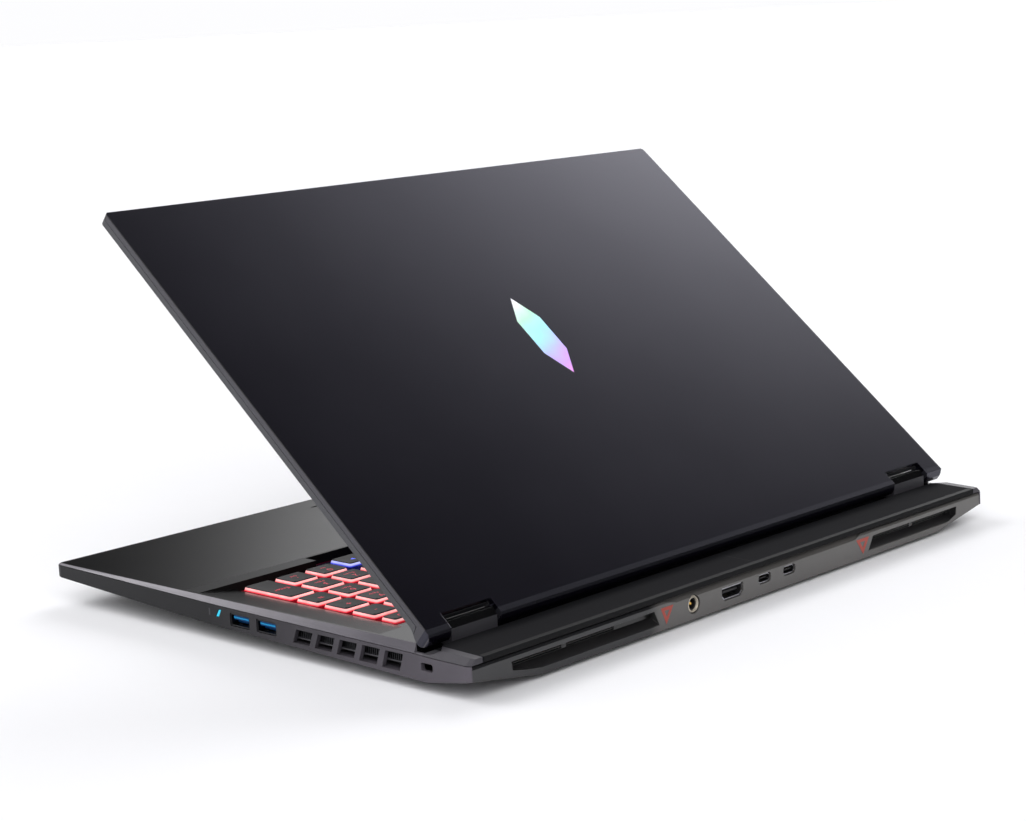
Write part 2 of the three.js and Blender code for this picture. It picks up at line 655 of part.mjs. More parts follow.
// Two caps of one column, tied by a strip along their left edges
function keyPair(column, upperRow) {
  const [left, rear] = [NUMPAD_X[column] - KEY_BASE / 2, rowY(upperRow) + 4];
  const caps = [upperRow, upperRow + 1].map((row) => keycap(NUMPAD_X[column], rowY(row)));
  const strip = box(left - 1.4, left + 0.7, rowY(upperRow + 1) - 4, rear, KEY_STEM_Z, KEY_BOTTOM_Z + 0.2);
  return join(caps, strip);
}

// Numpad keys on a comb: one carrier a row, tied by a strip between two columns
function numpadBlock() {
  const columnsOfRow = { 1: [0, 1, 2], 2: [0, 1, 2], 3: [0, 1, 2, 3], 4: [0, 1, 2], 5: [1, 2] };
  const pieces = [];
  for (const [row, columns] of Object.entries(columnsOfRow)) {
    const y = rowY(Number(row));
    columns.forEach((column) => pieces.push(keycap(NUMPAD_X[column], y)));
    const lastColumn = columns[columns.length - 1];
    pieces.push(carrier(NUMPAD_X[columns[0]] - 5, NUMPAD_X[lastColumn] + 5, y + KEY_BASE / 2));
  }
  const tieX = (NUMPAD_X[1] + NUMPAD_X[2]) / 2;
  const [tieY0, tieY1] = [rowY(5) + 7.5, rowY(1) + 8.6];
  pieces.push(box(tieX - 1, tieX + 1, tieY0, tieY1, KEY_STEM_Z + 0.1, KEY_BOTTOM_Z + 0.1));
  return join(pieces);
}

const keyboardPlate = () => box(-182, 182, -46, 86, PLATE_TOP_Z - PLATE_THICK, PLATE_TOP_Z);

// ---- Inside the base ----
function motherboard() {
  const outline = [
    [-78, 8], [78, 8], [78, 112], [60, 112], [60, 134], [-40, 134], [-40, 112], [-78, 112],
  ];
  const board = prism('z', outline, 8.2, 9.4);
  const chokes = [-62, -50, 14, 26].map((x) => box(x, x + 8, 40, 52, 9.3, 12));
  return join(board, chokes);
}

// Two cold plates with flattened pipes that lie over the rear fins
function heatPipes() {
  const plates = [-36, 36].map((x) => box(x - 21, x + 21, 62, 104, 9.9, 12.2));
  const cross = bar([[-50, 76], [50, 76]], 8, 11, 13.6);
  const runs = [-1, 1].map((side) => {
    const route = [[36, 94], [62, 112], [82, 127], [104, 133], [172, 133]];
    return bar(route.map(([x, y]) => [side * x, y]), 9, 11, 13.6);
  });
  return join(plates, cross, runs);
}

// Two plates with thin fins between them, spaced along x or along y
function finStack(x0, x1, y0, y1, z0, z1, alongX) {
  const pieces = [box(x0, x1, y0, y1, z0, z0 + 0.6), box(x0, x1, y0, y1, z1 - 0.6, z1)];
  for (let i = 0; i < FIN_COUNT; i += 1) {
    const t = i / (FIN_COUNT - 1);
    const x = x0 + (x1 - x0 - FIN_THICK) * t;
    const y = y0 + (y1 - y0 - FIN_THICK) * t;
    const [xa, xb, ya, yb] = alongX ? [x, x + FIN_THICK, y0, y1] : [x0, x1, y, y + FIN_THICK];
    pieces.push(box(xa, xb, ya, yb, z0 + 0.1, z1 - 0.1));
  }
  return join(pieces);
}

const rearFins = (side) => {
  const [x0, x1] = side > 0 ? [98, 162] : [-162, -98];
  return finStack(x0, x1, 127.5, 138.5, 5.2, 10.6, true);
};

const sideFins = (side) => {
  const [x0, x1] = side > 0 ? [184, 195] : [-195, -184];
  return finStack(x0, x1, 33, 110, 8.8, 15.4, false);
};

function fanHousing(side) {
  const [x, y] = [side * FAN.x, FAN.y];
  const [low, high] = [FAN.z0 + 1, FAN.z1 - 1];
  const plan = roundedRect(x - FAN.half, x + FAN.half, y - FAN.half, y + FAN.half, 12, 4);
  const outer = prism('z', plan, FAN.z0, FAN.z1);
  const chamber = rod('z', FAN.rotorR + 4, [x, y], low, high, 32);
  const outletRear = box(x - 30, x + 30, y, y + FAN.half + 2, low, high);
  const outletSide = box(x, x + side * (FAN.half + 2), y - 28, y + 28, low, high);
  const eye = rod('z', FAN.eyeR, [x, y], 0, TALL, 32);
  return cut(outer, chamber, outletRear, outletSide, eye);
}

function fanRotor(side) {
  const [x, y] = [side * FAN.x, FAN.y];
  const [low, high] = [FAN.z0 + 1.6, FAN.z1 - 1.6];
  const hub = rod('z', FAN.hubR, [x, y], low, high, 20);
  const blades = [];
  for (let i = 0; i < FAN.blades; i += 1) {
    const t = (2 * Math.PI * i) / FAN.blades;
    const path = [11, 22, FAN.rotorR].map((r, k) => {
      const a = t + 0.16 * k;
      return [x + r * Math.cos(a), y + r * Math.sin(a)];
    });
    blades.push(bar(path, 0.9, low, high));
  }
  return join(hub, blades);
}

function batteryPack() {
  const cells = [-93, -31, 31, 93].map((x) => {
    return prism('z', roundedRect(x - 29, x + 29, -84, -14, 3, 2), 5.2, 13.2);
  });
  return join(cells, box(-120, 120, -30, -24, 6, 11));
}

function speaker(side) {
  const [x0, x1] = side > 0 ? [134, 168] : [-168, -134];
  const shell = prism('z', roundedRect(x0, x1, -84, -22, 4, 2), 7.6, 13.4);
  return cut(shell, rod('z', 12, [(x0 + x1) / 2, -50], 5, 9, 24));
}

// ---- Base assembly ----
place('top_case', topCase(), FINISH.deck);
place('bottom_cover', bottomCover(), FINISH.shell);
place('rear_trim', rearTrim(), FINISH.trim);
place('keyboard_plate', keyboardPlate(), FINISH.backlight);
place('touchpad', box(PAD.x0, PAD.x1, PAD.y0, PAD.y1, PAD_TOP_Z - PAD_THICK, PAD_TOP_Z), FINISH.pad);
place('motherboard', motherboard(), FINISH.board);
place('heat_pipes', heatPipes(), FINISH.copper);
place('battery_pack', batteryPack(), FINISH.battery);
place('ssd_module', box(-70, 10, 14, 36, 9.8, 12), FINISH.board);
place('memory_module', box(20, 70, 12, 34, 9.8, 12.4), FINISH.board);
place('rear_foot', rearFoot(), FINISH.rubber);
place('usb_a_right_1', usbA(1, USB_A_RIGHT_Y[0]), FINISH.steel);
place('usb_a_right_2', usbA(1, USB_A_RIGHT_Y[1]), FINISH.steel);
place('usb_a_left', usbA(-1, USB_A_LEFT_Y), FINISH.steel);
place('usb_c_1', usbC(USB_C.x[0]), FINISH.steel);
place('usb_c_2', usbC(USB_C.x[1]), FINISH.steel);
place('hdmi_port', hdmiPort(), FINISH.steel);
place('dc_jack', dcJack(), FINISH.steel);
place('ethernet_port', ethernetPort(), FINISH.plastic);
place('audio_jack', audioJack(), FINISH.plastic);
place('power_light', prism('x', lightOutline(0), 196.5, 199.8), FINISH.light);

for (const [word, side] of [['right', 1], ['left', -1]]) {
  place(`fan_housing_${word}`, fanHousing(side), FINISH.plastic);
  place(`fan_rotor_${word}`, fanRotor(side), FINISH.plastic);
  place(`fin_stack_rear_${word}`, rearFins(side), FINISH.copper);
  place(`fin_stack_side_${word}`, sideFins(side), FINISH.copper);
  place(`speaker_${word}`, speaker(side), FINISH.plastic);
  place(`front_foot_${word}`, frontFoot(side), FINISH.rubber);
  place(`hinge_bracket_${word}`, hingeBracket(side), FINISH.steel);
  place(`hinge_cover_${word}`, hingeCover(side), FINISH.lidEdge);
  place(`hinge_arm_${word}`, hingeArm(side), FINISH.steel, lid);
}

// ---- Lid assembly ----
place('lid_back_cover', lidBackCover(), FINISH.lid, lid);
place('display_bezel', displayBezel(), FINISH.plastic, lid);
place('display_panel', displayPanel(), FINISH.screen, lid);
place('webcam_module', webcamModule(), FINISH.board, lid);
place('lid_emblem', prism('z', emblemOutline(0), 3.95, 4.36), FINISH.emblem, lid);

// ---- Keyboard assembly ----
place('key_row_function', functionRow(), FINISH.keycap);
place('key_row_digits', keyRun(MAIN_LEFT_X, rowY(1), ones(14)), FINISH.keycap);
place('key_row_upper', keyRun(MAIN_LEFT_X, rowY(2), [1.25, ...ones(12), 0.75]), FINISH.keycap);
place('key_row_home', keyRun(MAIN_LEFT_X, rowY(3), [1.5, ...ones(11), 1.5]), FINISH.keycap);
place('key_row_lower', keyRun(MAIN_LEFT_X, rowY(4), [2, ...ones(11)]), FINISH.keycap);
place('key_row_bottom_left', keyRun(MAIN_LEFT_X, rowY(5), ones(4)), FINISH.keycap);
place('key_row_bottom_right', keyRun(unitX(9), rowY(5), ones(3)), FINISH.keycap);
place('key_block_numpad', numpadBlock(), FINISH.keycap);
place('key_power', singleKey(NUMPAD_X[3], FUNCTION_ROW_Y, KEY_BASE, FUNCTION_KEY_DEPTH), FINISH.keycap);
place('key_pair_minus_plus', keyPair(3, 1), FINISH.keycap);
place(
  'key_numpad_enter',
  singleKey(NUMPAD_X[3], (rowY(4) + rowY(5)) / 2, KEY_BASE, KEY_BASE + KEY_PITCH),
  FINISH.keycap,
);
place('key_space', singleKey(unitX(6.5), rowY(5), 5 * KEY_PITCH - (KEY_PITCH - KEY_BASE)), FINISH.keycap);
place('key_arrow_left', singleKey(unitX(12.5), rowY(5) + ARROW_SHIFT_Y), FINISH.keycap);
place('key_arrow_down', singleKey(unitX(13.5), rowY(5) + ARROW_SHIFT_Y), FINISH.keycap);
place('key_arrow_right', singleKey(unitX(14.5), rowY(5) + ARROW_SHIFT_Y), FINISH.keycap);
place('key_arrow_up', singleKey(unitX(13.5), rowY(4) + ARROW_SHIFT_Y), FINISH.keycap);

export default laptop;
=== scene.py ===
"""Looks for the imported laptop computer: finishes, key caps, sockets, small fittings, light and camera.

Lengths below are in millimetres, in the part's own frame, unless a name says otherwise.
"""
import json
import math

import bmesh
import bpy
from mathutils import Matrix, Vector


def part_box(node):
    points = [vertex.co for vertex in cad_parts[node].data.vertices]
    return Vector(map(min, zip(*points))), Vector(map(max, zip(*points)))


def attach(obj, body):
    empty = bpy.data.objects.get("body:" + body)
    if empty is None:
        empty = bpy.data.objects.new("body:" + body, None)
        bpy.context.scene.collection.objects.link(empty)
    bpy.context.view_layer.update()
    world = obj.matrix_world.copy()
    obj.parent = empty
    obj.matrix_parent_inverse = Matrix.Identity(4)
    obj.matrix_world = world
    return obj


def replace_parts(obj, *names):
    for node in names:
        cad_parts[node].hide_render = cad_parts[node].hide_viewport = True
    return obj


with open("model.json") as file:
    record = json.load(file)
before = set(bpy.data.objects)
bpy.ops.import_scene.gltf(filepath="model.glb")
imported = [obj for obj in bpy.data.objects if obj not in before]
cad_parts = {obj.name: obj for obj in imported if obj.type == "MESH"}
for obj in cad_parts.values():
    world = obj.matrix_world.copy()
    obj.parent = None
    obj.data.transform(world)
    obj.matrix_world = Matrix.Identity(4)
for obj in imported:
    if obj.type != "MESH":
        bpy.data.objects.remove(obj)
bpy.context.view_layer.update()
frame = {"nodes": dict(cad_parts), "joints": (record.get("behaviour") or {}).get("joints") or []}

MM = 0.001
NODES = frame["nodes"]
JOINTS = {joint["name"]: joint for joint in frame["joints"]}

# ---- Camera: long lens, from behind and to the right of the laptop ----
CAMERA_PLACE = (834.43, 798.98, 286.74)
CAMERA_AZIMUTH = 134.139
CAMERA_ELEVATION = 10.078
CAMERA_ROLL = -2.938
CAMERA_LENS = 78.1
CAMERA_SENSOR = 36.0

# ---- Lid: closed, it lies along -Y from the hinge axis; the pieces on it are drawn closed ----
LID_OPEN = math.radians(40.24)
HINGE = Vector(JOINTS["lid_hinge"]["pos_m"])
LID_MATRIX = Matrix.Translation(HINGE) @ Matrix.Rotation(-LID_OPEN, 4, "X")
LID_INNER_Z = -1.6

# ---- Keyboard ----
KEY_PITCH = 19.5
KEY_GAP = 3.7
KEY_DEPTH = 15.8
FUNCTION_DEPTH = 9.9
NUMPAD_SKIP = 1.7 / KEY_PITCH  # extra gap before the number pad, in key widths
PLATE_TOP_Z = 15.7


# ---- Camera ----
def make_camera():
    angles = (CAMERA_AZIMUTH, CAMERA_ELEVATION, CAMERA_ROLL)
    azimuth, elevation, roll = (math.radians(angle) for angle in angles)
    back = Vector((
        math.sin(azimuth) * math.cos(elevation),
        -math.cos(azimuth) * math.cos(elevation),
        math.sin(elevation),
    ))
    level = (-back).cross(Vector((0, 0, 1))).normalized()
    upright = level.cross(-back)
    right = level * math.cos(roll) + upright * math.sin(roll)
    up = upright * math.cos(roll) - level * math.sin(roll)
    data = bpy.data.cameras.new("camera")
    data.lens = CAMERA_LENS
    data.sensor_width = CAMERA_SENSOR
    data.clip_start = 0.01
    data.clip_end = 100
    camera = bpy.data.objects.new("camera", data)
    bpy.context.scene.collection.objects.link(camera)
    matrix = Matrix((right, up, back)).transposed().to_4x4()
    matrix.translation = Vector(CAMERA_PLACE) * MM
    camera.matrix_world = matrix
    bpy.context.scene.camera = camera


# ---- Node graph helpers ----
def linear(red, green, blue):
    """Display colour from 0 to 255 as linear light, with alpha."""
    def one(value):
        value /= 255
        return value / 12.92 if value <= 0.04045 else ((value + 0.055) / 1.055) ** 2.4
    return (one(red), one(green), one(blue), 1.0)


class Graph:
    """A material's node tree, with short calls to add and join nodes."""

    def __init__(self, name):
        self.material = bpy.data.materials.new(name)
        self.material.use_nodes = True
        self.tree = self.material.node_tree
        self.shader = self.tree.nodes["Principled BSDF"]
        self.place = self.add("ShaderNodeTexCoord").outputs["Object"]

    def add(self, kind, inputs=None, **settings):
        node = self.tree.nodes.new(kind)
        for key, value in settings.items():
            setattr(node, key, value)
        for key, value in (inputs or {}).items():
            if isinstance(value, bpy.types.NodeSocket):
                self.tree.links.new(value, node.inputs[key])
            else:
                node.inputs[key].default_value = value
        return node

    def noise(self, size, detail=3.0, roughness=0.55, stretch=(1, 1, 1)):
        """Noise from 0 to 1 whose blotches are about size millimetres across."""
        place = self.add("ShaderNodeMapping", {"Vector": self.place, "Scale": stretch}).outputs["Vector"]
        inputs = {"Vector": place, "Scale": 1000 / size, "Detail": detail, "Roughness": roughness}
        return self.add("ShaderNodeTexNoise", inputs).outputs["Fac"]

    def spread(self, value, low, high):
        """value from 0.2 to 0.8 spread evenly over low to high."""
        inputs = {"Value": value, "From Min": 0.2, "From Max": 0.8, "To Min": low, "To Max": high}
        return self.add("ShaderNodeMapRange", inputs, interpolation_type="SMOOTHSTEP").outputs["Result"]

    def axis(self, name, lid=False):
        """Object-space coordinate in millimetres. On the lid y and z are those of the closed lid."""
        split = self.add("ShaderNodeSeparateXYZ", {"Vector": self.place}).outputs
        if not lid or name == "X":
            return self.math("MULTIPLY", split[name], 1 / MM)
        y = self.math("MULTIPLY", self.math("SUBTRACT", split["Y"], HINGE.y), 1 / MM)
        z = self.math("MULTIPLY", self.math("SUBTRACT", split["Z"], HINGE.z), 1 / MM)
        c, s = math.cos(LID_OPEN), math.sin(LID_OPEN)
        if name == "Y":
            return self.math("SUBTRACT", self.math("MULTIPLY", y, c), self.math("MULTIPLY", z, s))
        return self.math("ADD", self.math("MULTIPLY", y, s), self.math("MULTIPLY", z, c))

    def zone(self, limits, lid=False, blur=0.15):
        """1 inside all the limits, 0 outside, with an even fade of blur millimetres on each side of a limit.

        limits holds (axis, low, high) or (axis, low, high, own blur). "|X|" is the distance from x = 0.
        """
        total = None
        for name, low, high, *own in limits:
            soft = own[0] if own else blur
            value = self.axis(name.strip("|"), lid)
            if name.startswith("|"):
                value = self.math("ABSOLUTE", value)
            middle, reach = (low + high) / 2, (high - low) / 2
            away = self.math("ABSOLUTE", self.math("SUBTRACT", value, middle))
            inputs = {"Value": away, "From Min": reach + soft, "From Max": reach - soft}
            inside = self.add("ShaderNodeMapRange", inputs).outputs["Result"]
            total = inside if total is None else self.math("MULTIPLY", total, inside)
        return total

    def math(self, operation, a, b=0.0, clamp=False):
        return self.add("ShaderNodeMath", {0: a, 1: b}, operation=operation, use_clamp=clamp).outputs[0]

    def mix(self, factor, a, b):
        node = self.add("ShaderNodeMix", {"Factor": factor}, data_type="RGBA")
        for socket, value in ((node.inputs[6], a), (node.inputs[7], b)):
            if isinstance(value, bpy.types.NodeSocket):
                self.tree.links.new(value, socket)
            else:
                socket.default_value = value
        return node.outputs[2]

    def blend(self, factor, a, b):
        """The number b where factor is 1, a where it is 0."""
        return self.add("ShaderNodeMix", {0: factor, 2: a, 3: b}, data_type="FLOAT").outputs[0]

    def scaled(self, color, factor):
        """A colour made darker or lighter by a factor."""
        if isinstance(color, tuple):
            color = color[:3]
        return self.add("ShaderNodeVectorMath", {0: color, "Scale": factor}, operation="SCALE").outputs[0]

    def set(self, **sockets):
        for key, value in sockets.items():
            socket = self.shader.inputs[key.replace("_", " ")]
            if isinstance(value, bpy.types.NodeSocket):
                self.tree.links.new(value, socket)
            else:
                socket.default_value = value


def moulded(name, color, roughness, metallic=0.0, grain=0.5, depth=0.02, mottle=0.12, blotch=35,
            edge=0.25, wear=0.35, specular=0.5, tint=(255, 255, 255), coat=0.0,
            zones=(), gloss=(), lid=False):
    """Solid finish: fine grain, slow colour drift, uneven gloss, and softened edges worn a little lighter.

    grain and depth are the size and height of the grain, mottle and blotch the strength and size of the
    drift, edge the radius of the softened edges, wear how much lighter they get, tint the colour of the
    reflections. zones holds areas of another colour as (limits, colour, blur), and gloss areas of another
    roughness as (limits, roughness, blur). With lid, their y and z are those of the closed lid.
    """
    g = Graph(name)
    drift = g.noise(blotch, detail=4)
    fine = g.noise(grain, detail=2)
    rounded = g.add("ShaderNodeBevel", {"Radius": edge * MM}, samples=4).outputs["Normal"]
    normals = {0: rounded, 1: g.add("ShaderNodeNewGeometry").outputs["Normal"]}
    turned = g.add("ShaderNodeVectorMath", normals, operation="DOT_PRODUCT")
    bend = g.math("SUBTRACT", 1.0, turned.outputs["Value"], clamp=True)
    worn = g.math("MULTIPLY", g.math("MULTIPLY", bend, 3.0, clamp=True), g.spread(g.noise(6), 0.2, 1.0))
    base = linear(*color)
    light = tuple(min(1.0, c * 3 + 0.03) for c in base[:3]) + (1.0,)
    for limits, other, blur in zones:
        base = g.mix(g.zone(limits, lid, blur), base, linear(*other))
    rough = g.spread(drift, roughness * 0.92, min(1.0, roughness * 1.08))
    for limits, other, blur in gloss:
        rough = g.blend(g.zone(limits, lid, blur), rough, other)
    drifted = g.scaled(base, g.spread(drift, 1 - mottle, 1 + mottle))
    relief = {"Height": fine, "Distance": depth * MM, "Strength": 0.6, "Normal": rounded}
    bump = g.add("ShaderNodeBump", relief)
    g.set(
        Base_Color=g.mix(g.math("MULTIPLY", worn, wear), drifted, light),
        Roughness=rough,
        Normal=bump.outputs["Normal"],
        Metallic=metallic,
        Specular_IOR_Level=specular,
        Specular_Tint=linear(*tint),
        Coat_Weight=coat,
    )
    return g.material


def glowing(name, color, deep, strength, height=None):
    """Lit translucent plastic. With height as (low z, high z), the light goes from deep up to color."""
    g = Graph(name)
    patch = g.spread(g.noise(7, detail=2), 0.75, 1.2)
    if height:
        inputs = {"Value": g.axis("Z"), "From Min": height[0], "From Max": height[1]}
        rise = g.add("ShaderNodeMapRange", inputs, interpolation_type="SMOOTHSTEP").outputs["Result"]
        glow = g.mix(rise, linear(*deep), linear(*color))
    else:
        glow = g.mix(g.noise(4), linear(*deep), linear(*color))
    g.set(Base_Color=linear(*deep), Emission_Color=g.scaled(glow, patch), Roughness=0.5)
    g.shader.inputs["Emission Strength"].default_value = strength
    return g.material


def backlight():
    """Light-guide film under the keys: red, blue below the arrow keys, lit on its upper face only."""
    g = Graph("backlight")
    arrows = g.zone([("X", 57, 117), ("Y", -46, 2)], blur=2)
    glow = g.mix(arrows, linear(214, 14, 40), linear(14, 16, 60))
    top = g.math("GREATER_THAN", g.axis("Z"), PLATE_TOP_Z - 0.05)
    g.set(
        Base_Color=linear(60, 56, 58),
        Emission_Color=g.scaled(glow, g.spread(g.noise(5, detail=2), 0.7, 1.2)),
        Emission_Strength=g.math("MULTIPLY", top, 0.15),
        Roughness=g.spread(g.noise(8), 0.45, 0.6),
    )
    return g.material


def woven_metal(name, color, roughness, stretch):
    """Metal with fine lines drawn along one axis."""
    g = Graph(name)
    lines = g.noise(0.6, detail=4, stretch=stretch)
    drift = g.noise(9)
    bump = g.add("ShaderNodeBump", {"Height": lines, "Distance": 0.01 * MM, "Strength": 0.5})
    g.set(
        Base_Color=g.scaled(linear(*color), g.spread(drift, 0.85, 1.1)),
        Roughness=g.spread(lines, roughness * 0.8, roughness * 1.2),
        Normal=bump.outputs["Normal"],
        Metallic=1.0,
    )
    return g.material


def circuit_board():
    """Green board: solder mask with thin straight tracks and small lighter pads."""
    g = Graph("board")
    cells = g.add("ShaderNodeTexVoronoi", {"Vector": g.place, "Scale": 160.0}, distance="CHEBYCHEV")
    ripple = {"Vector": g.place, "Scale": 220.0, "Distortion": 1.5}
    wave = g.add("ShaderNodeTexWave", ripple, wave_profile="SAW")
    tracks = g.math("GREATER_THAN", wave.outputs["Fac"], 0.82)
    pads = g.math("LESS_THAN", cells.outputs["Distance"], 0.12)
    green = g.mix(g.math("MULTIPLY", tracks, 0.6), linear(14, 46, 30), linear(34, 92, 58))
    bump = g.add("ShaderNodeBump", {"Height": tracks, "Distance": 0.02 * MM})
    g.set(
        Base_Color=g.mix(pads, green, linear(190, 180, 150)),
        Roughness=g.spread(g.noise(12), 0.32, 0.45),
        Normal=bump.outputs["Normal"],
    )
    return g.material


def emblem_metal():
    """Pale metal whose colour runs from white and mint over sky blue to violet and pink along its length. It
    also glows faintly in these colours, which is a painted sheen.
    """
    low_z, rise, slant = 102.0, 36.0, -0.012
    g = Graph("emblem")
    along = g.math("DIVIDE", g.math("SUBTRACT", g.axis("Z"), low_z), rise)
    across = g.math("MULTIPLY", g.axis("X"), slant)
    wave = g.math("MULTIPLY", g.spread(g.noise(14, detail=1), -1, 1), 0.05)
    run = g.math("ADD", g.math("ADD", g.math("SUBTRACT", 1.0, along), across), wave)
    ramp = g.add("ShaderNodeValToRGB", {"Fac": run})
    stops = ((0.0, (240, 240, 245)), (0.2, (178, 240, 205)), (0.42, (160, 228, 246)),
             (0.62, (180, 190, 252)), (0.8, (205, 158, 250)), (1.0, (242, 146, 226)))
    elements = ramp.color_ramp.elements
    while len(elements) < len(stops):
        elements.new(0.5)
    for element, (place, color) in zip(elements, stops):
        element.position = place
        element.color = linear(*color)
    g.set(Base_Color=ramp.outputs["Color"], Emission_Color=ramp.outputs["Color"], Metallic=0.55,
          Roughness=g.spread(g.noise(2), 0.28, 0.36))
    # Faint glow in the same colours: painted sheen, not a lamp.
    g.shader.inputs["Emission Strength"].default_value = 0.2
    return g.material


def display_glass():
    """Dark matt screen with the faint grid of its pixels."""
    g = Graph("screen")
    grid = g.add("ShaderNodeTexChecker", {"Vector": g.place, "Scale": 2500.0})
    sheen = g.noise(90, detail=1)
    dark = g.mix(g.math("MULTIPLY", grid.outputs["Fac"], 0.4), linear(9, 9, 12), linear(17, 17, 22))
    bump = g.add("ShaderNodeBump", {"Height": g.noise(0.15), "Distance": 0.003 * MM, "Strength": 0.4})
    g.set(Base_Color=dark, Roughness=g.spread(sheen, 0.2, 0.27), Normal=bump.outputs["Normal"])
    g.shader.inputs["Coat Weight"].default_value = 0.3
    return g.material


def lens_glass():
    """Dark coated glass of a small camera."""
    g = Graph("lens")
    tint = g.mix(g.noise(1.5), linear(8, 10, 26), linear(30, 14, 40))
    g.set(Base_Color=tint, Roughness=g.spread(g.noise(3), 0.05, 0.09))
    g.shader.inputs["Coat Weight"].default_value = 1.0
    return g.material


def floor_paint():
    g = Graph("floor")
    g.set(
        Base_Color=g.mix(g.noise(300), linear(242, 242, 244), linear(247, 247, 248)),
        Roughness=g.spread(g.noise(40), 0.75, 0.85),
    )
    g.shader.inputs["Specular IOR Level"].default_value = 0.15
    return g.material


# ---- Areas with a colour or gloss of their own, or with painted light or shade, as limits for Graph.zone ----
# The rear face of the deck's lip, painted darker than the deck: painted shade.
LIP = [("|X|", 0, 191), ("Y", 147.0, 151)]
# The rear shelf behind the keys, painted darker and bluer than the deck: painted shade under the lid.
SHELF = [("|X|", 0, 194), ("Y", 121, 151), ("Z", 15, 20)]
WELL_WALL = [("|X|", 0, 197), ("Y", -46, -35), ("Z", 10, 20.9)]
# The side chamfer: silver-grey of its own, and lighter in front than at the rear, which is a painted
# highlight.
SIDE_BEVEL = [("|X|", 198.2, 201)]
REAR_BEVEL = [("|X|", 198.2, 201), ("Y", 30, 400, 60)]
# The rear corners of the deck, painted lighter than the deck: painted highlight.
CORNER_BLOCK = [("|X|", 192, 201), ("Y", 121, 151)]
# The bottom cover's side wall, painted lighter towards the rear: painted light.
REAR_HALF_PAINTED_LIGHT = [("Y", 100, 600)]
CHARGE_LIGHT = [("X", 199, 201), ("Y", -25.2, -24.4), ("Z", 12.6, 16.0)]
# The right part of the rear trim, painted darker: painted shade.
NEAR_TRIM_PAINTED_SHADE = [("X", 78, 250)]
# The side faces of lid and bezel, painted lighter: painted reflection.
LID_EDGE_PAINTED_REFLECTION = [("|X|", 198.75, 200)]
# The lid's lower end face, painted lighter than the lid: painted highlight.
LID_FOOT_PAINTED_HIGHLIGHT = [("Y", -0.6, 3)]
# The top of the hinge covers, painted near black: painted shade.
COVER_TOP = [("Z", 25.1, 40)]
RECESS_SPANS = ((66, 176), (-178, -86))
# The exhaust recesses in the rear trim, painted darker than the trim: painted shade.
RECESSES_PAINTED_SHADE = [[("X", *span), ("Y", 140, 149.35), ("Z", 4, 12.6)] for span in RECESS_SPANS]
# The slots inside the exhaust recesses, painted near black: painted shadow.
LOUVRES_PAINTED_SHADOW = [[("X", *span), ("Y", 138, 145.9), ("Z", 8, 13)] for span in RECESS_SPANS]
SHARP = 0.15
BACKLIT_Z = (18.1, 19.0)

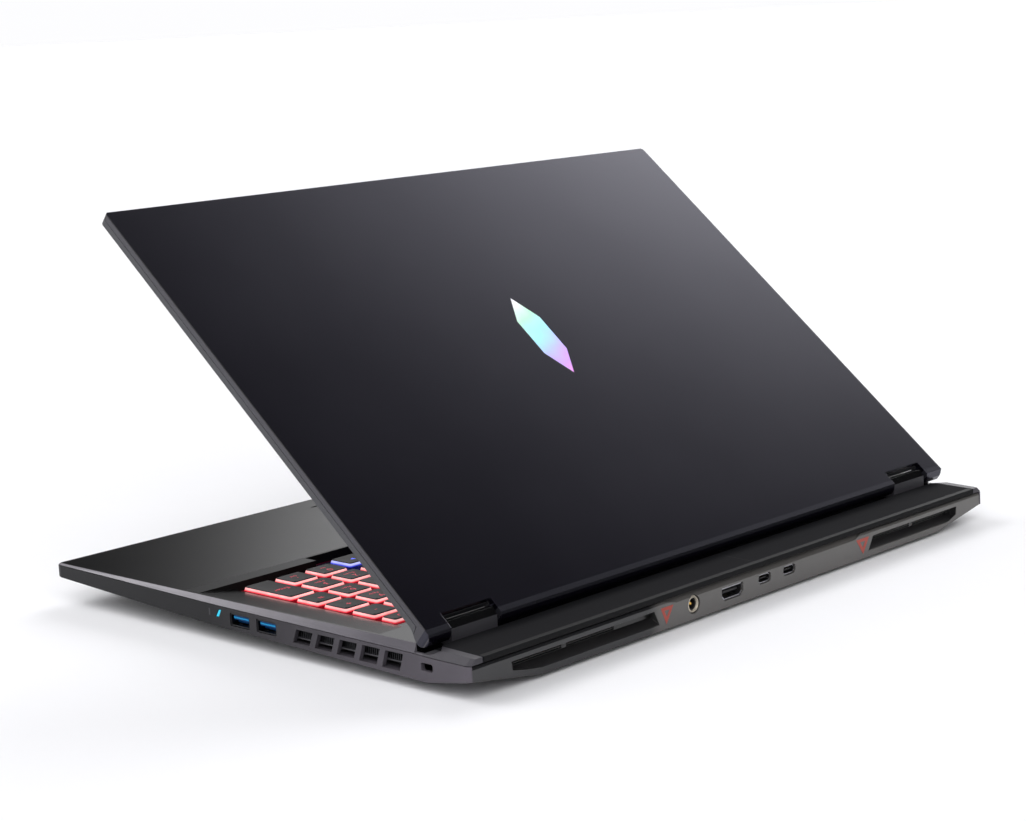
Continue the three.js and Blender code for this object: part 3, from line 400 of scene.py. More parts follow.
FINISH = {
    # Deck: shelf and lip are painted darker, as painted shade. The rear corners are painted lighter, as a
    # painted highlight. The side chamfer is silver-grey of its own, with a painted highlight in front.
    "deck": moulded("deck", (8, 8, 9), 0.18, grain=0.35, depth=0.002, specular=0.22, edge=0.2,
                    zones=[(SHELF, (5, 5, 10), SHARP), (LIP, (5, 5, 7), SHARP),
                           (SIDE_BEVEL, (132, 129, 134), SHARP), (REAR_BEVEL, (86, 83, 89), SHARP),
                           (CORNER_BLOCK, (64, 62, 67), SHARP)],
                    gloss=[(SHELF, 1.0, SHARP), (LIP, 0.7, SHARP), (WELL_WALL, 1.0, SHARP),
                           (SIDE_BEVEL, 0.26, SHARP), (REAR_BEVEL, 0.55, SHARP), (CORNER_BLOCK, 0.5, SHARP)]),
    # Shell: painted lighter towards the rear, which is painted light.
    "shell": moulded("shell", (26, 26, 28), 0.46, grain=0.35, depth=0.014, specular=0.2,
                     zones=[(REAR_HALF_PAINTED_LIGHT, (100, 95, 103), 125), (CHARGE_LIGHT, (66, 66, 70), 0.1)]),
    # Lid: the side faces are painted lighter, as a painted reflection. The lower end face is painted lighter,
    # as a painted highlight.
    "lid": moulded("lid", (5, 4, 9), 0.15, grain=0.12, depth=0.0004, mottle=0.05, blotch=80, edge=0.3,
                   wear=0.8, specular=0.45, tint=(218, 215, 255),
                   zones=[(LID_EDGE_PAINTED_REFLECTION, (64, 63, 62), SHARP), (LID_FOOT_PAINTED_HIGHLIGHT, (34, 34, 38), SHARP)], lid=True),
    # Bezel: side faces painted lighter, which is a painted reflection.
    "bezel": moulded("bezel", (38, 38, 41), 0.5, grain=0.3, depth=0.015, edge=0.3,
                     zones=[(LID_EDGE_PAINTED_REFLECTION, (62, 62, 66), SHARP)], lid=True),
    # Hinge cover: top painted near black, which is painted shade.
    "cover": moulded("cover", (50, 49, 53), 0.4, grain=0.3, depth=0.01, edge=0.12, wear=0.6,
                     zones=[(COVER_TOP, (5, 5, 6), SHARP)], gloss=[(COVER_TOP, 0.22, SHARP)]),
    # Trim: the right part and the exhaust recesses are painted darker, as painted shade. The slots in the
    # recesses are near black, as painted shadow.
    "trim": moulded("trim", (82, 80, 78), 0.32, grain=0.5, depth=0.006, coat=0.25, mottle=0.08,
                    zones=[(NEAR_TRIM_PAINTED_SHADE, (30, 30, 32), 4),
                           *((recess, (26, 25, 26), SHARP) for recess in RECESSES_PAINTED_SHADE),
                           *((slots, (3, 3, 3), SHARP) for slots in LOUVRES_PAINTED_SHADOW)]),
    "rubber": moulded("rubber", (20, 20, 21), 0.85, grain=0.4, depth=0.05, wear=0.15, specular=0.3),
    "key_top": moulded("key_top", (24, 24, 26), 0.5, grain=0.25, depth=0.01, mottle=0.05, edge=0.12, wear=0.1,
                       specular=0.25),
    "key_glow": glowing("key_glow", (255, 196, 194), (196, 10, 38), 1.05, BACKLIT_Z),
    "key_glow_blue": glowing("key_glow_blue", (200, 204, 250), (30, 48, 190), 0.9, BACKLIT_Z),
    "legend": glowing("legend", (214, 44, 74), (180, 22, 50), 0.8),
    "legend_blue": glowing("legend_blue", (110, 130, 250), (60, 80, 235), 0.9),
    "backlight": backlight(),
    "pad": moulded("pad", (17, 17, 19), 0.24, grain=0.12, depth=0.002, mottle=0.05, edge=0.2, specular=0.3),
    "screen": display_glass(),
    "board": circuit_board(),
    "copper": woven_metal("copper", (196, 118, 78), 0.32, (0.1, 1, 1)),
    "fins": woven_metal("fins", (60, 60, 63), 0.45, (0.2, 1, 1)),
    "steel": woven_metal("steel", (158, 158, 162), 0.3, (1, 0.15, 1)),
    "socket": woven_metal("socket", (58, 58, 60), 0.34, (1, 0.15, 1)),
    "nickel": moulded("nickel", (190, 182, 166), 0.34, metallic=0.35, grain=0.3, depth=0.01, wear=0.2),
    "gold": woven_metal("gold", (222, 178, 92), 0.28, (1, 0.2, 1)),
    "black": moulded("black", (18, 18, 20), 0.5, grain=0.3, depth=0.02, wear=0.2),
    "bar": moulded("bar", (58, 57, 61), 0.45, grain=0.3, depth=0.015),
    "foil": woven_metal("foil", (60, 60, 64), 0.55, (1, 1, 1)),
    "cyan": glowing("cyan", (50, 196, 216), (20, 156, 188), 0.8),
    "blue": moulded("blue", (0, 62, 112), 0.5, grain=0.3, depth=0.01, wear=0.05, specular=0.15),
    # Lighter blue of the tongue's rib: a painted highlight.
    "blue_rib_painted_highlight": moulded("blue_rib_painted_highlight", (0, 138, 196), 0.45, grain=0.3, depth=0.01, wear=0.1, specular=0.2),
    "accent": moulded("accent", (158, 60, 48), 0.4, grain=0.3, depth=0.01, wear=0.2, edge=0.1),
    "emblem": emblem_metal(),
    "lens": lens_glass(),
    "floor": floor_paint(),
}


def dress(finish, *names):
    """Gives CAD nodes their finish."""
    for name in names:
        slots = NODES[name].data.materials
        slots.clear()
        slots.append(FINISH[finish])


# ---- Mesh helpers, in millimetres ----
PLANES = {
    "x": lambda u, v, depth: (depth, u, v),
    "y": lambda u, v, depth: (u, depth, v),
    "z": lambda u, v, depth: (u, v, depth),
}


def rounded(cu, cv, width, height, radius, steps=4):
    """Outline of a rectangle with round corners about (cu, cv), in a plane."""
    points = []
    corners = ((1, 1, 0), (-1, 1, 1), (-1, -1, 2), (1, -1, 3))
    for su, sv, quarter in corners:
        for i in range(steps + 1):
            t = (quarter + i / steps) * math.pi / 2
            u = cu + su * (width / 2 - radius) + radius * math.cos(t)
            v = cv + sv * (height / 2 - radius) + radius * math.sin(t)
            points.append((u, v))
    return points


def circle(cu, cv, radius, steps=32):
    return [
        (cu + radius * math.cos(2 * math.pi * i / steps), cv + radius * math.sin(2 * math.pi * i / steps))
        for i in range(steps)
    ]


class Sketch:
    """Closed solids that make up one piece. Each face keeps the number of its finish."""

    def __init__(self):
        self.points = []
        self.faces = []
        self.marks = []

    def loft(self, loops, marks=0, ring=False):
        """Skin over loops of equal length. ring joins the last one to the first; else both ends are capped.

        marks is one finish number, or one for each band between loops.
        """
        n, count, start = len(loops[0]), len(loops), len(self.points)
        self.points.extend(point for loop in loops for point in loop)
        bands = count if ring else count - 1
        if isinstance(marks, int):
            marks = [marks] * (bands + 1)
        for k in range(bands):
            low, high = start + k * n, start + (k + 1) % count * n
            for i in range(n):
                j = (i + 1) % n
                self.faces.append((low + i, low + j, high + j, high + i))
                self.marks.append(marks[k])
        if not ring:
            self.faces.append(tuple(range(start + n - 1, start - 1, -1)))
            self.marks.append(marks[0])
            self.faces.append(tuple(range(start + (count - 1) * n, start + count * n)))
            self.marks.append(marks[-1])

    def prism(self, axis, outline, low, high, mark=0, bevel=0.0):
        """Prism of a plane outline. bevel draws in the rim of its far face towards the outline's centre."""
        place = PLANES[axis]
        loops = [[place(u, v, low) for u, v in outline]]
        if bevel:
            side = math.copysign(bevel, high - low)
            cu = sum(u for u, _ in outline) / len(outline)
            cv = sum(v for _, v in outline) / len(outline)
            reach = max(math.hypot(u - cu, v - cv) for u, v in outline)
            small = 1 - bevel / reach
            loops.append([place(u, v, high - side) for u, v in outline])
            loops.append([place(cu + (u - cu) * small, cv + (v - cv) * small, high) for u, v in outline])
        else:
            loops.append([place(u, v, high) for u, v in outline])
        self.loft(loops, mark)

    def box(self, x0, x1, y0, y1, z0, z1, mark=0):
        self.prism("z", [(x0, y0), (x1, y0), (x1, y1), (x0, y1)], z0, z1, mark)

    def frame(self, axis, outer, inner, low, high, mark=0):
        """A frame or tube between two outlines of as many points."""
        place = PLANES[axis]
        loops = [
            [place(u, v, low) for u, v in outer], [place(u, v, high) for u, v in outer],
            [place(u, v, high) for u, v in inner], [place(u, v, low) for u, v in inner],
        ]
        self.loft(loops, mark, ring=True)

    def add_mesh(self, mesh, offset, mark=0):
        start = len(self.points)
        for vertex in mesh.vertices:
            self.points.append(tuple(vertex.co / MM + Vector(offset)))
        for polygon in mesh.polygons:
            self.faces.append(tuple(start + i for i in polygon.vertices))
            self.marks.append(mark)

    def build(self, name, body, slot, finishes, matrix=None, smooth=28):
        """Makes the object, gives it its finishes, and lets it ride on a body.

        Edges that bend by less than smooth degrees are shaded smoothly.
        """
        mesh = bpy.data.meshes.new(name)
        points = [Vector(p) * MM for p in self.points]
        if matrix:
            points = [matrix @ p for p in points]
        mesh.from_pydata(points, [], self.faces)
        for finish in finishes:
            mesh.materials.append(FINISH[finish])
        for polygon, mark in zip(mesh.polygons, self.marks):
            polygon.material_index = mark
            polygon.use_smooth = True
        tidy = bmesh.new()
        tidy.from_mesh(mesh)
        bmesh.ops.recalc_face_normals(tidy, faces=tidy.faces)
        for edge in tidy.edges:
            edge.smooth = len(edge.link_faces) == 2 and edge.calc_face_angle(0) < math.radians(smooth)
        tidy.to_mesh(mesh)
        tidy.free()
        piece = bpy.data.objects.new(name, mesh)
        bpy.context.scene.collection.objects.link(piece)
        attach(piece, body)
        return piece


def node_box(name):
    """A node's lowest and highest corner in millimetres."""
    low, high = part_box(name)
    return low / MM, high / MM


def halfway(low, high):
    return (low + high) / 2


# ---- Keys ----
# Height over the cap's foot, how far the outline is drawn in, corner radius
CAP_RINGS = (
    (0.0, 0.0, 1.2), (1.5, 0.45, 1.1), (1.64, 0.5, 1.1), (1.68, 0.6, 1.1),
    (1.92, 0.66, 1.0), (2.1, 0.86, 0.9), (2.06, 2.4, 0.8), (1.98, 3.6, 0.6),
)
SKIRT_BANDS = 3
CAP_FOOT = 0.6  # height of the caps' foot over the bottom of their node
LEGEND_RISE = 1.93
LEGEND_THICK = 0.06
LEGEND_SIZE = 4.4
SMALL_LEGEND_SIZE = 3.0
UNDER_LEGEND_SIZE = 1.9
CAPITAL_SHARE = 0.72  # height of a capital over the size of the font


def add_cap(sketch, cx, cy, width, depth, foot):
    """Key cap: lit skirt below, dark dished top above a fine step."""
    loops = []
    for rise, inset, radius in CAP_RINGS:
        inset = min(inset, depth / 2 - radius - 0.4)
        outline = rounded(cx, cy, width - 2 * inset, depth - 2 * inset, radius)
        loops.append([(u, v, foot + rise) for u, v in outline])
    marks = [0] * SKIRT_BANDS + [1] * (len(CAP_RINGS) - SKIRT_BANDS)
    sketch.loft(loops, marks)


def text_mesh(text, size):
    """Thin solid letters, centred on the origin, with capitals about size millimetres high."""
    curve = bpy.data.curves.new("glyph", "FONT")
    curve.body = text
    curve.size = size * MM / CAPITAL_SHARE
    curve.extrude = LEGEND_THICK / 2 * MM
    curve.resolution_u = 2
    curve.align_x = "CENTER"
    curve.align_y = "CENTER"
    holder = bpy.data.objects.new("glyph", curve)
    bpy.context.scene.collection.objects.link(holder)
    bpy.context.view_layer.update()
    mesh = bpy.data.meshes.new_from_object(holder.evaluated_get(bpy.context.evaluated_depsgraph_get()))
    bpy.data.objects.remove(holder)
    bpy.data.curves.remove(curve)
    return mesh


ARROWS = {
    "<": [(-1.5, 0), (1.1, 1.6), (1.1, -1.6)],
    ">": [(1.5, 0), (-1.1, -1.6), (-1.1, 1.6)],
    "^": [(0, 1.5), (-1.6, -1.1), (1.6, -1.1)],
    "v": [(0, -1.5), (1.6, 1.1), (-1.6, 1.1)],
}


def add_legend(sketch, text, cx, cy, foot):
    """One legend on a cap: an arrow, a word, or two words one above the other."""
    if text.startswith("arrow"):
        outline = [(cx + u, cy + v) for u, v in ARROWS[text[-1]]]
        sketch.prism("z", outline, foot + LEGEND_RISE, foot + LEGEND_RISE + LEGEND_THICK)
        return
    text, _, under = text.partition(" ")
    size = LEGEND_SIZE if len(text) == 1 else SMALL_LEGEND_SIZE
    lines = [(text, size, 1.7 if under else 0.0)]
    if under:
        lines.append((under, UNDER_LEGEND_SIZE, -3.4))
    for word, height, shift in lines:
        mesh = text_mesh(word, height)
        sketch.add_mesh(mesh, (cx, cy + shift, foot + LEGEND_RISE + LEGEND_THICK / 2))
        bpy.data.meshes.remove(mesh)


def key_piece(node, keys, glow="key_glow", legend="legend"):
    """Caps and legends of one CAD key node. keys holds (centre x, centre y, width, depth, legend)."""
    foot = node_box(node)[0].z + CAP_FOOT
    caps, legends = Sketch(), Sketch()
    for cx, cy, width, depth, text in keys:
        add_cap(caps, cx, cy, width, depth, foot)
        if text:
            add_legend(legends, text, cx, cy + 0.06 * depth, foot)
    piece = caps.build(f"{node}_caps", node, "keycap_plastic", [glow, "key_top"], smooth=40)
    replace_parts(piece, node)
    if legends.points:
        legends.build(f"{node}_legends", node, "keycap_plastic", [legend])


def run_of_keys(node, units, legends, depth=KEY_DEPTH):
    """Keys along a row from the node's left end. A negative unit is a gap."""
    low, _ = node_box(node)
    x, y = low.x - KEY_GAP / 2, low.y + depth / 2
    keys, names = [], iter(legends)
    for unit in units:
        width = abs(unit) * KEY_PITCH
        if unit > 0:
            keys.append((x + width / 2, y, width - KEY_GAP, depth, next(names)))
        x += width
    key_piece(node, keys)


def single_key(node, text):
    """The only key of a node, as large as the node."""
    low, high = node_box(node)
    return (halfway(low.x, high.x), halfway(low.y, high.y), high.x - low.x, high.y - low.y, text)


def make_keyboard():
    run_of_keys(
        "key_row_function", [1] * 14 + [-NUMPAD_SKIP] + [1] * 3,
        ["Esc"] + [f"F{i}" for i in range(1, 13)] + ["Del", "<<", "||", ">>"], FUNCTION_DEPTH,
    )
    run_of_keys("key_row_digits", [1] * 14, [*"`1234567890-=", "Back"])
    run_of_keys("key_row_upper", [1.25] + [1] * 12 + [0.75], ["Tab", *"QWERTYUIOP[]\\"])
    run_of_keys("key_row_home", [1.5] + [1] * 11 + [1.5], ["Caps", *"ASDFGHJKL;'", "Enter"])
    run_of_keys("key_row_lower", [2] + [1] * 11, ["Shift", *"ZXCVBNM,./", "Shift"])
    run_of_keys("key_row_bottom_left", [1] * 4, ["Ctrl", "Fn", "Sys", "Alt"])
    run_of_keys("key_row_bottom_right", [1] * 3, ["Alt", "Menu", "Ctrl"])
    low, _ = node_box("key_block_numpad")
    numbers = (
        ("Num Lock", "/", "*"), ("7 Home", "8 Up", "9 PgUp"), ("4 Left", "5", "6 Right", "="),
        ("1 End", "2 Down", "3 PgDn"), (None, "0 Ins", ". Del"),
    )
    keys = []
    last_y = low.y + KEY_DEPTH / 2
    first_y = last_y + (len(numbers) - 1) * KEY_PITCH
    for row, names in enumerate(numbers):
        for column, name in enumerate(names):
            if name:
                x = low.x + KEY_DEPTH / 2 + column * KEY_PITCH
                keys.append((x, first_y - row * KEY_PITCH, KEY_DEPTH, KEY_DEPTH, name))
    key_piece("key_block_numpad", keys)
    _, high = node_box("key_pair_minus_plus")
    x, y = high.x - KEY_DEPTH / 2, high.y - KEY_DEPTH / 2
    pair = [(x, y - row * KEY_PITCH, KEY_DEPTH, KEY_DEPTH, name) for row, name in enumerate("-+")]
    key_piece("key_pair_minus_plus", pair)
    for node, name in (("key_power", "o"), ("key_numpad_enter", "Enter"), ("key_space", None)):
        key_piece(node, [single_key(node, name)])
    for word, sign in (("left", "<"), ("right", ">"), ("up", "^"), ("down", "v")):
        node = f"key_arrow_{word}"
        key_piece(node, [single_key(node, f"arrow{sign}")], "key_glow_blue", "legend_blue")


# ---- Sockets: openings, sheet thickness, and contact tongues with their gold contacts ----
USB_A_SIZE = (13.8, 5.9)
USB_A_SHEET = 0.35
USB_A_LIP = 0.3
USB_A_BACK = 0.4
USB_A_SPRING = {"out": 3.2, "half": 1.2, "rise": 0.25}
USB_A_TONGUE = {"width": 11.4, "thick": 2.1, "top": 2.2, "recess": 0.7}
USB_A_CONTACT = {"count": 4, "pitch": 2.4, "half": 0.55}
USB_C_SIZE = (9.4, 4.3)
USB_C_SHEET = 0.45
USB_C_ROUND = 0.46  # corner radius over height
USB_C_TONGUE = (6.4, 0.75)
USB_C_CONTACT = {"count": 6, "pitch": 0.95, "half": 0.25}
HDMI_SHEET = 0.55
HDMI_SLANT = 1.7
HDMI_CONTACT = {"count": 9, "pitch": 1.1, "half": 0.25}
REAR_WALL = 0.6
BARREL_WALL = 1.2
ETHERNET_CONTACT = {"count": 8, "pitch": 1.1, "half": 0.22}
AUDIO_RING = (2.7, 1.9)


def contact_places(centre, contact):
    """Centres of a row of contacts."""
    return [centre + (i - (contact["count"] - 1) / 2) * contact["pitch"] for i in range(contact["count"])]


def usb_a(node):
    """Folded steel shell with a lip and two springs, and a blue tongue with gold contacts and a rib of
    lighter blue, which is a painted highlight.
    """
    low, high = node_box(node)
    cy, cz = halfway(low.y, high.y), halfway(low.z, high.z)
    side = math.copysign(1, low.x)
    face, back = (high.x, low.x) if side > 0 else (low.x, high.x)
    width, height = USB_A_SIZE

    def span(from_back, from_face):
        """Low and high x of something between the back wall and the face."""
        return sorted((back + side * from_back, face - side * from_face))

    def front(deep, shallow):
        """Low and high x of something that ends at a depth behind the face."""
        return sorted((face - side * deep, face - side * shallow))

    shell = Sketch()
    outer = rounded(cy, cz, width, height, 0.6)
    inner = rounded(cy, cz, width - 2 * USB_A_SHEET, height - 2 * USB_A_SHEET, 0.35)
    mouth = rounded(cy, cz, width - 1, height - 1, 0.3)
    shell.frame("x", outer, inner, back + side * USB_A_BACK, face - side * USB_A_LIP)
    shell.frame("x", outer, mouth, face - side * USB_A_LIP, face)
    shell.prism("x", outer, back, back + side * USB_A_BACK)
    floor_z = cz - height / 2 + USB_A_SHEET
    for out in (-USB_A_SPRING["out"], USB_A_SPRING["out"]):
        y0, y1 = cy + out - USB_A_SPRING["half"], cy + out + USB_A_SPRING["half"]
        shell.box(*span(3, 2.5), y0, y1, floor_z, floor_z + USB_A_SPRING["rise"])
    shell_piece = shell.build(f"{node}_shell", "base", "steel", ["socket"])
    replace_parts(shell_piece, node)

    tongue = Sketch()
    wide, thick = USB_A_TONGUE["width"], USB_A_TONGUE["thick"]
    top = cz + USB_A_TONGUE["top"]
    root = back + side * 0.5
    blade = rounded(cy, top - thick / 2, wide, thick, 0.25, 2)
    tongue.prism("x", blade, root, face - side * USB_A_TONGUE["recess"], 0, 0.2)
    tongue.prism("x", rounded(cy, cz - 0.3, wide, 3.4, 0.2, 2), root, face - side * 3.5)
    for y in contact_places(cy, USB_A_CONTACT):
        half = USB_A_CONTACT["half"]
        tongue.box(*front(3.4, 1.4), y - half, y + half, top - 2.25, top - 2.05, 1)
    # Thin rib across the tongue's front in lighter blue: a painted highlight on its front lip.
    tongue.box(*front(0.75, 0.55), cy - 5.3, cy + 5.3, top - 1.45, top - 0.75, 2)
    tongue.build(f"{node}_tongue", "base", "steel", ["blue", "gold", "blue_rib_painted_highlight"])


def rear_shell(node, outline, inner, name):
    """Steel shell of a rear socket, open to the rear."""
    low, high = node_box(node)
    shell = Sketch()
    shell.frame("y", outline, inner, low.y + REAR_WALL, high.y)
    shell.prism("y", outline, low.y, low.y + REAR_WALL)
    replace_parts(shell.build(name, "base", "steel", ["steel"]), node)


def usb_c(node):
    """Oval steel shell, and a thin tongue with contacts on both faces."""
    low, high = node_box(node)
    cx, cz = halfway(low.x, high.x), halfway(low.z, high.z)

    def oval(width, height):
        return rounded(cx, cz, width, height, height * USB_C_ROUND, 6)

    width, height = USB_C_SIZE
    inner = oval(width - 2 * USB_C_SHEET, height - 2 * USB_C_SHEET)
    rear_shell(node, oval(width, height), inner, f"{node}_shell")
    tongue = Sketch()
    tongue.prism("y", rounded(cx, cz, *USB_C_TONGUE, 0.3), low.y + 0.4, high.y - 0.9, 0, 0.2)
    half = USB_C_CONTACT["half"]
    for x in contact_places(cx, USB_C_CONTACT):
        for z in (cz - 0.42, cz + 0.42):
            tongue.box(x - half, x + half, low.y + 3, high.y - 1.6, z - 0.05, z + 0.05, 1)
    tongue.build(f"{node}_tongue", "base", "steel", ["black", "gold"])


def hdmi():
    """Steel shell whose lower corners are cut off, and a tongue with contacts on its lower face."""
    node = "hdmi_port"
    low, high = node_box(node)
    cx, top = halfway(low.x, high.x), high.z

    def outline(inset):
        x0, x1, z0, z1 = low.x + inset, high.x - inset, low.z + inset, high.z - inset
        side_z = z0 + HDMI_SLANT
        return [(x0, z1), (x0, side_z), (x0 + HDMI_SLANT, z0), (x1 - HDMI_SLANT, z0), (x1, side_z), (x1, z1)]

    rear_shell(node, outline(0), outline(HDMI_SHEET), "hdmi_shell")
    tongue = Sketch()
    tongue.box(cx - 5.4, cx + 5.4, low.y + 0.5, high.y - 1.2, top - 3.1, top - 1.9)
    half = HDMI_CONTACT["half"]
    for x in contact_places(cx, HDMI_CONTACT):
        tongue.box(x - half, x + half, low.y + 2, high.y - 1.6, top - 3.2, top - 3.05, 1)
    tongue.build("hdmi_tongue", "base", "steel", ["black", "gold"])


def dc_inlet():
    """Nickel barrel with a rolled mouth, lined with black plastic, round a gold centre pin."""
    node = "dc_jack"
    low, high = node_box(node)
    cx, cz = halfway(low.x, high.x), halfway(low.z, high.z)
    radius = (high.x - low.x) / 2
    # How far the barrel's skin is inside its outer radius, and its y
    skin = (
        (0, low.y), (0, high.y - 0.7), (0.35, high.y - 0.15), (0.8, high.y),
        (1.1, high.y - 0.5), (BARREL_WALL, high.y - 1.2), (BARREL_WALL, low.y + 2),
    )
    barrel = Sketch()
    loops = [[(u, y, v) for u, v in circle(cx, cz, radius - inset)] for inset, y in skin]
    barrel.loft(loops, ring=True)
    piece = barrel.build("dc_jack_barrel", "base", "steel", ["nickel"], smooth=35)
    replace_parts(piece, node)
    core = Sketch()
    base_y = low.y + 1
    liner = circle(cx, cz, radius - BARREL_WALL - 0.02)
    core.frame("y", liner, circle(cx, cz, radius - 1.75), base_y, high.y - 1.1)
    core.prism("y", liner, low.y, base_y)
    core.prism("y", circle(cx, cz, 0.8, 20), base_y, high.y - 1.6, 1, 0.35)
    core.build("dc_jack_core", "base", "black_plastic", ["black", "gold"], smooth=35)


def ethernet():
    """Network socket: black body with eight gold spring wires in its roof."""
    dress("black", "ethernet_port")
    low, high = node_box("ethernet_port")
    half = ETHERNET_CONTACT["half"]
    wires = Sketch()
    for y in contact_places(halfway(low.y, high.y), ETHERNET_CONTACT):
        wires.box(low.x + 3.5, high.x - 2.2, y - half, y + half, high.z - 1.25, high.z - 0.95)
    wires.build("ethernet_contacts", "base", "steel", ["gold"])


def audio():
    """Black socket with a steel ring round its mouth."""
    dress("black", "audio_jack")
    low, high = node_box("audio_jack")
    cy, cz = halfway(low.y, high.y), halfway(low.z, high.z)
    outer, inner = (circle(cy, cz, radius) for radius in AUDIO_RING)
    ring = Sketch()
    ring.frame("x", outer, inner, low.x - 0.05, low.x + 0.4)
    ring.build("audio_jack_ring", "base", "steel", ["steel"], smooth=35)


# ---- Fittings of the base ----
COMB_COUNT = 60
COMB_HALF = 0.2  # half the thickness of a fin
COMB_X = (195.4, 197.2)
COMB_Z = (11.1, 15.6)
BAR_X = (195.3, 197.4)
TRIANGLE_Z = (4.5, 12.7)
TRIANGLE_HOLLOW = 0.42  # size of the hole over that of the triangle
TRIM_Y = 149.7
SCREWS = [(x, y) for x in (-150, -50, 50, 150) for y in (112, 12)] + [(-130, -70), (0, -72), (130, -70)]
CROSS = (1.5, 0.3)  # half length and half width of the recess in a screw head


def side_vents():
    """Thin fins behind each side vent, and the bars across them."""
    low, high = node_box("fin_stack_side_right")
    room = high.y - low.y - 4 * COMB_HALF
    for word, side in (("right", 1), ("left", -1)):
        comb, bar = Sketch(), Sketch()
        x0, x1 = sorted(side * x for x in COMB_X)
        for i in range(COMB_COUNT):
            y = low.y + 2 * COMB_HALF + room * i / (COMB_COUNT - 1)
            comb.box(x0, x1, y - COMB_HALF, y + COMB_HALF, *COMB_Z)
        x0, x1 = sorted(side * x for x in BAR_X)
        comb.box(x0, x1, low.y, high.y, 15.55, 16.1)
        bar.prism("y", [(x0, 9.9), (x1, 10.2), (x1, 10.8), (x0, 11.2)], low.y, high.y)
        comb.build(f"vent_comb_{word}", "base", "copper", ["fins"])
        bar.build(f"vent_bar_{word}", "base", "shell_plastic", ["bar"])


def accents():
    """Hollow inverted triangles inlaid in the rear trim beside the exhaust recesses."""
    low, top = TRIANGLE_Z
    for word, x0, x1, tip in (("right", 64.9, 74.0, 70.3), ("left", -93.2, -82.0, -87.8)):
        outer = [(x0, top), (x1, top), (tip, low)]
        cx, cz = (x0 + x1 + tip) / 3, (2 * top + low) / 3
        inner = [(cx + (u - cx) * TRIANGLE_HOLLOW, cz + (v - cz) * TRIANGLE_HOLLOW) for u, v in outer]
        mark = Sketch()
        mark.frame("y", outer, inner, TRIM_Y - 0.2, TRIM_Y + 0.08)
        mark.build(f"accent_{word}", "base", "trim_plastic", ["accent"])


def base_screws():
    """Cross-recess screws in the underside, drawn just proud of the skin."""
    screws = Sketch()
    long, short = CROSS
    corners = ((-long, -short), (long, -short), (long, short), (-long, short))
    for x, y in SCREWS:
        screws.prism("z", circle(x, y, 2.6, 24), 2.4, 1.95, 0, 0.35)
        for turn in (0, math.pi / 2):
            c, s = math.cos(turn), math.sin(turn)
            outline = [(x + u * c - v * s, y + u * s + v * c) for u, v in corners]
            screws.prism("z", outline, 2.1, 1.93, 1)
    screws.build("underside_screws", "base", "steel", ["steel", "black"], smooth=35)


# ---- Fittings of the lid, drawn closed ----
SCREEN_Y = -142.35
GASKET_OUTER = (387.6, 242.6, 1.2)
GASKET_INNER = (384.4, 239.4, 0.8)
EYE_Y = -267.1
BUMPER_PLACES = ((-170, -268), (-60, -268), (60, -268), (170, -268))
BUMPER_SIZE = (12, 3, 1.45)


def lid_fittings():
    """Gasket round the screen, camera lens in its ring, and the four rubber bumpers."""
    gasket = Sketch()
    outer = rounded(0, SCREEN_Y, *GASKET_OUTER, 3)
    inner = rounded(0, SCREEN_Y, *GASKET_INNER, 3)
    gasket.frame("z", outer, inner, LID_INNER_Z + 0.6, LID_INNER_Z + 1.1)
    gasket.build("screen_gasket", "lid", "rubber", ["rubber"], LID_MATRIX)
    eye = Sketch()
    eye.prism("z", circle(0, EYE_Y, 1.85), -0.9, LID_INNER_Z + 0.1, 0, 0.2)
    eye.frame("z", circle(0, EYE_Y, 1.95), circle(0, EYE_Y, 1.2), -1.3, LID_INNER_Z + 0.05, 1)
    eye.build("camera_eye", "lid", "screen", ["lens", "black"], LID_MATRIX, smooth=35)
    bumpers = Sketch()
    for x, y in BUMPER_PLACES:
        bumpers.prism("z", rounded(x, y, *BUMPER_SIZE), LID_INNER_Z + 0.1, LID_INNER_Z - 0.7, 0, 0.25)
    bumpers.build("lid_bumpers", "lid", "rubber", ["rubber"], LID_MATRIX)


# ---- Floor, light ----
FLOOR_REACH = 200000
# Soft lamps painted on the sky: direction towards the lamp, tightness, strength, highest brightness
LAMPS = (
    ((-0.814, -0.296, 0.500), 43.4, 15.9, 4.5),
    ((0.56, -0.76, 0.30), 24, 3.0, 3.0),
    ((0.21, -0.69, 0.69), 26, 5.5, 5.5),
    ((-0.77, -0.54, 0.34), 120, 61.0, 1.0),
    ((0.52, 0.58, 0.63), 8, 3.9, 3.9),
)
SKY_DIM = 0.02
HORIZON = ((0.02, 0.35), (0.06, SKY_DIM))  # height and brightness where the pale horizon begins and ends
BACKDROP = 1.0
SKY_COLOR = (0.985, 0.985, 1.0, 1.0)


def lay_floor():
    """Pale floor that reaches past the edge of every view."""
    r = FLOOR_REACH * MM
    mesh = bpy.data.meshes.new("floor")
    mesh.from_pydata([(-r, -r, 0), (r, -r, 0), (r, r, 0), (-r, r, 0)], [], [(0, 1, 2, 3)])
    mesh.materials.append(FINISH["floor"])
    floor = bpy.data.objects.new("floor", mesh)
    bpy.context.scene.collection.objects.link(floor)


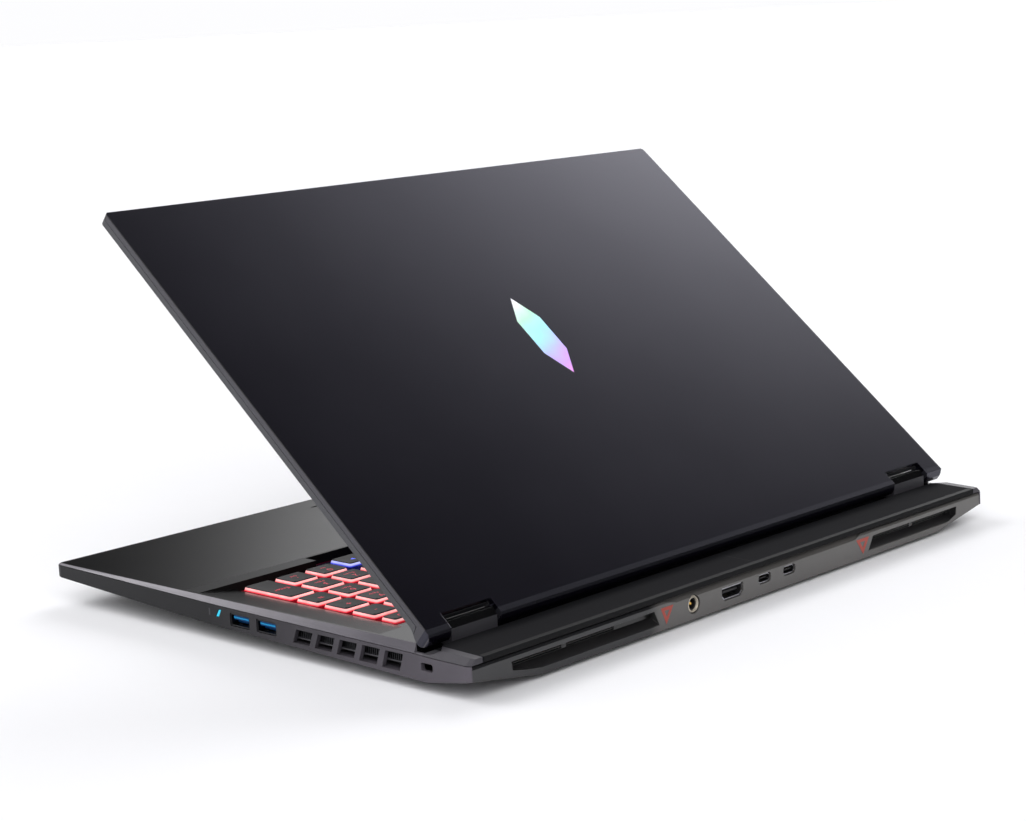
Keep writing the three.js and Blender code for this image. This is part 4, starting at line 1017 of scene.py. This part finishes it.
def light_sky():
    """Dim sky with soft round lamps that fade out evenly. The camera itself sees a plain pale backdrop."""
    world = bpy.data.worlds.new("studio")
    bpy.context.scene.world = world
    world.use_nodes = True
    tree = world.node_tree

    def add(kind, operation, *inputs):
        node = tree.nodes.new(kind)
        node.operation = operation
        for socket, value in zip(node.inputs, inputs):
            if isinstance(value, bpy.types.NodeSocket):
                tree.links.new(value, socket)
            else:
                socket.default_value = value
        return node.outputs

    direction = tree.nodes.new("ShaderNodeTexCoord").outputs["Generated"]
    height = tree.nodes.new("ShaderNodeSeparateXYZ")
    tree.links.new(direction, height.inputs[0])
    band = tree.nodes.new("ShaderNodeMapRange")
    tree.links.new(height.outputs["Z"], band.inputs["Value"])
    (low, pale), (high, dim) = HORIZON
    for name, value in (("From Min", low), ("From Max", high), ("To Min", pale), ("To Max", dim)):
        band.inputs[name].default_value = value
    total = band.outputs["Result"]
    for aim, tightness, strength, ceiling in LAMPS:
        unit = Vector(aim).normalized()
        facing = add("ShaderNodeVectorMath", "DOT_PRODUCT", direction, unit)["Value"]
        away = add("ShaderNodeMath", "SUBTRACT", facing, 1.0)[0]
        falloff = add("ShaderNodeMath", "MULTIPLY", away, tightness)[0]
        lamp = add("ShaderNodeMath", "MULTIPLY", add("ShaderNodeMath", "EXPONENT", falloff)[0], strength)[0]
        total = add("ShaderNodeMath", "ADD", total, add("ShaderNodeMath", "MINIMUM", lamp, ceiling)[0])[0]
    seen = tree.nodes.new("ShaderNodeMix")
    tree.links.new(tree.nodes.new("ShaderNodeLightPath").outputs["Is Camera Ray"], seen.inputs[0])
    tree.links.new(total, seen.inputs[2])
    seen.inputs[3].default_value = BACKDROP
    tree.links.new(seen.outputs[0], tree.nodes["Background"].inputs["Strength"])
    tree.nodes["Background"].inputs["Color"].default_value = SKY_COLOR
    bpy.context.scene.view_settings.view_transform = "Standard"


# ---- Assembly ----
make_camera()
dress("deck", "top_case")
dress("shell", "bottom_cover")
dress("trim", "rear_trim")
dress("backlight", "keyboard_plate")
dress("pad", "touchpad")
dress("board", "motherboard", "ssd_module", "memory_module", "webcam_module")
dress("copper", "heat_pipes")
dress("foil", "battery_pack")
dress("rubber", "rear_foot")
dress("cyan", "power_light")
dress("lid", "lid_back_cover")
dress("bezel", "display_bezel")
dress("screen", "display_panel")
dress("emblem", "lid_emblem")
for word in ("right", "left"):
    dress("rubber", f"front_foot_{word}")
    dress("cover", f"hinge_cover_{word}")
    dress("fins", f"hinge_bracket_{word}", f"hinge_arm_{word}")
    dress("fins", f"fin_stack_rear_{word}", f"fin_stack_side_{word}")
    dress("black", f"fan_housing_{word}", f"fan_rotor_{word}", f"speaker_{word}")
make_keyboard()
for node in ("usb_a_right_1", "usb_a_right_2", "usb_a_left"):
    usb_a(node)
for node in ("usb_c_1", "usb_c_2"):
    usb_c(node)
hdmi()
dc_inlet()
ethernet()
audio()
side_vents()
accents()
base_screws()
lid_fittings()
lay_floor()
light_sky()
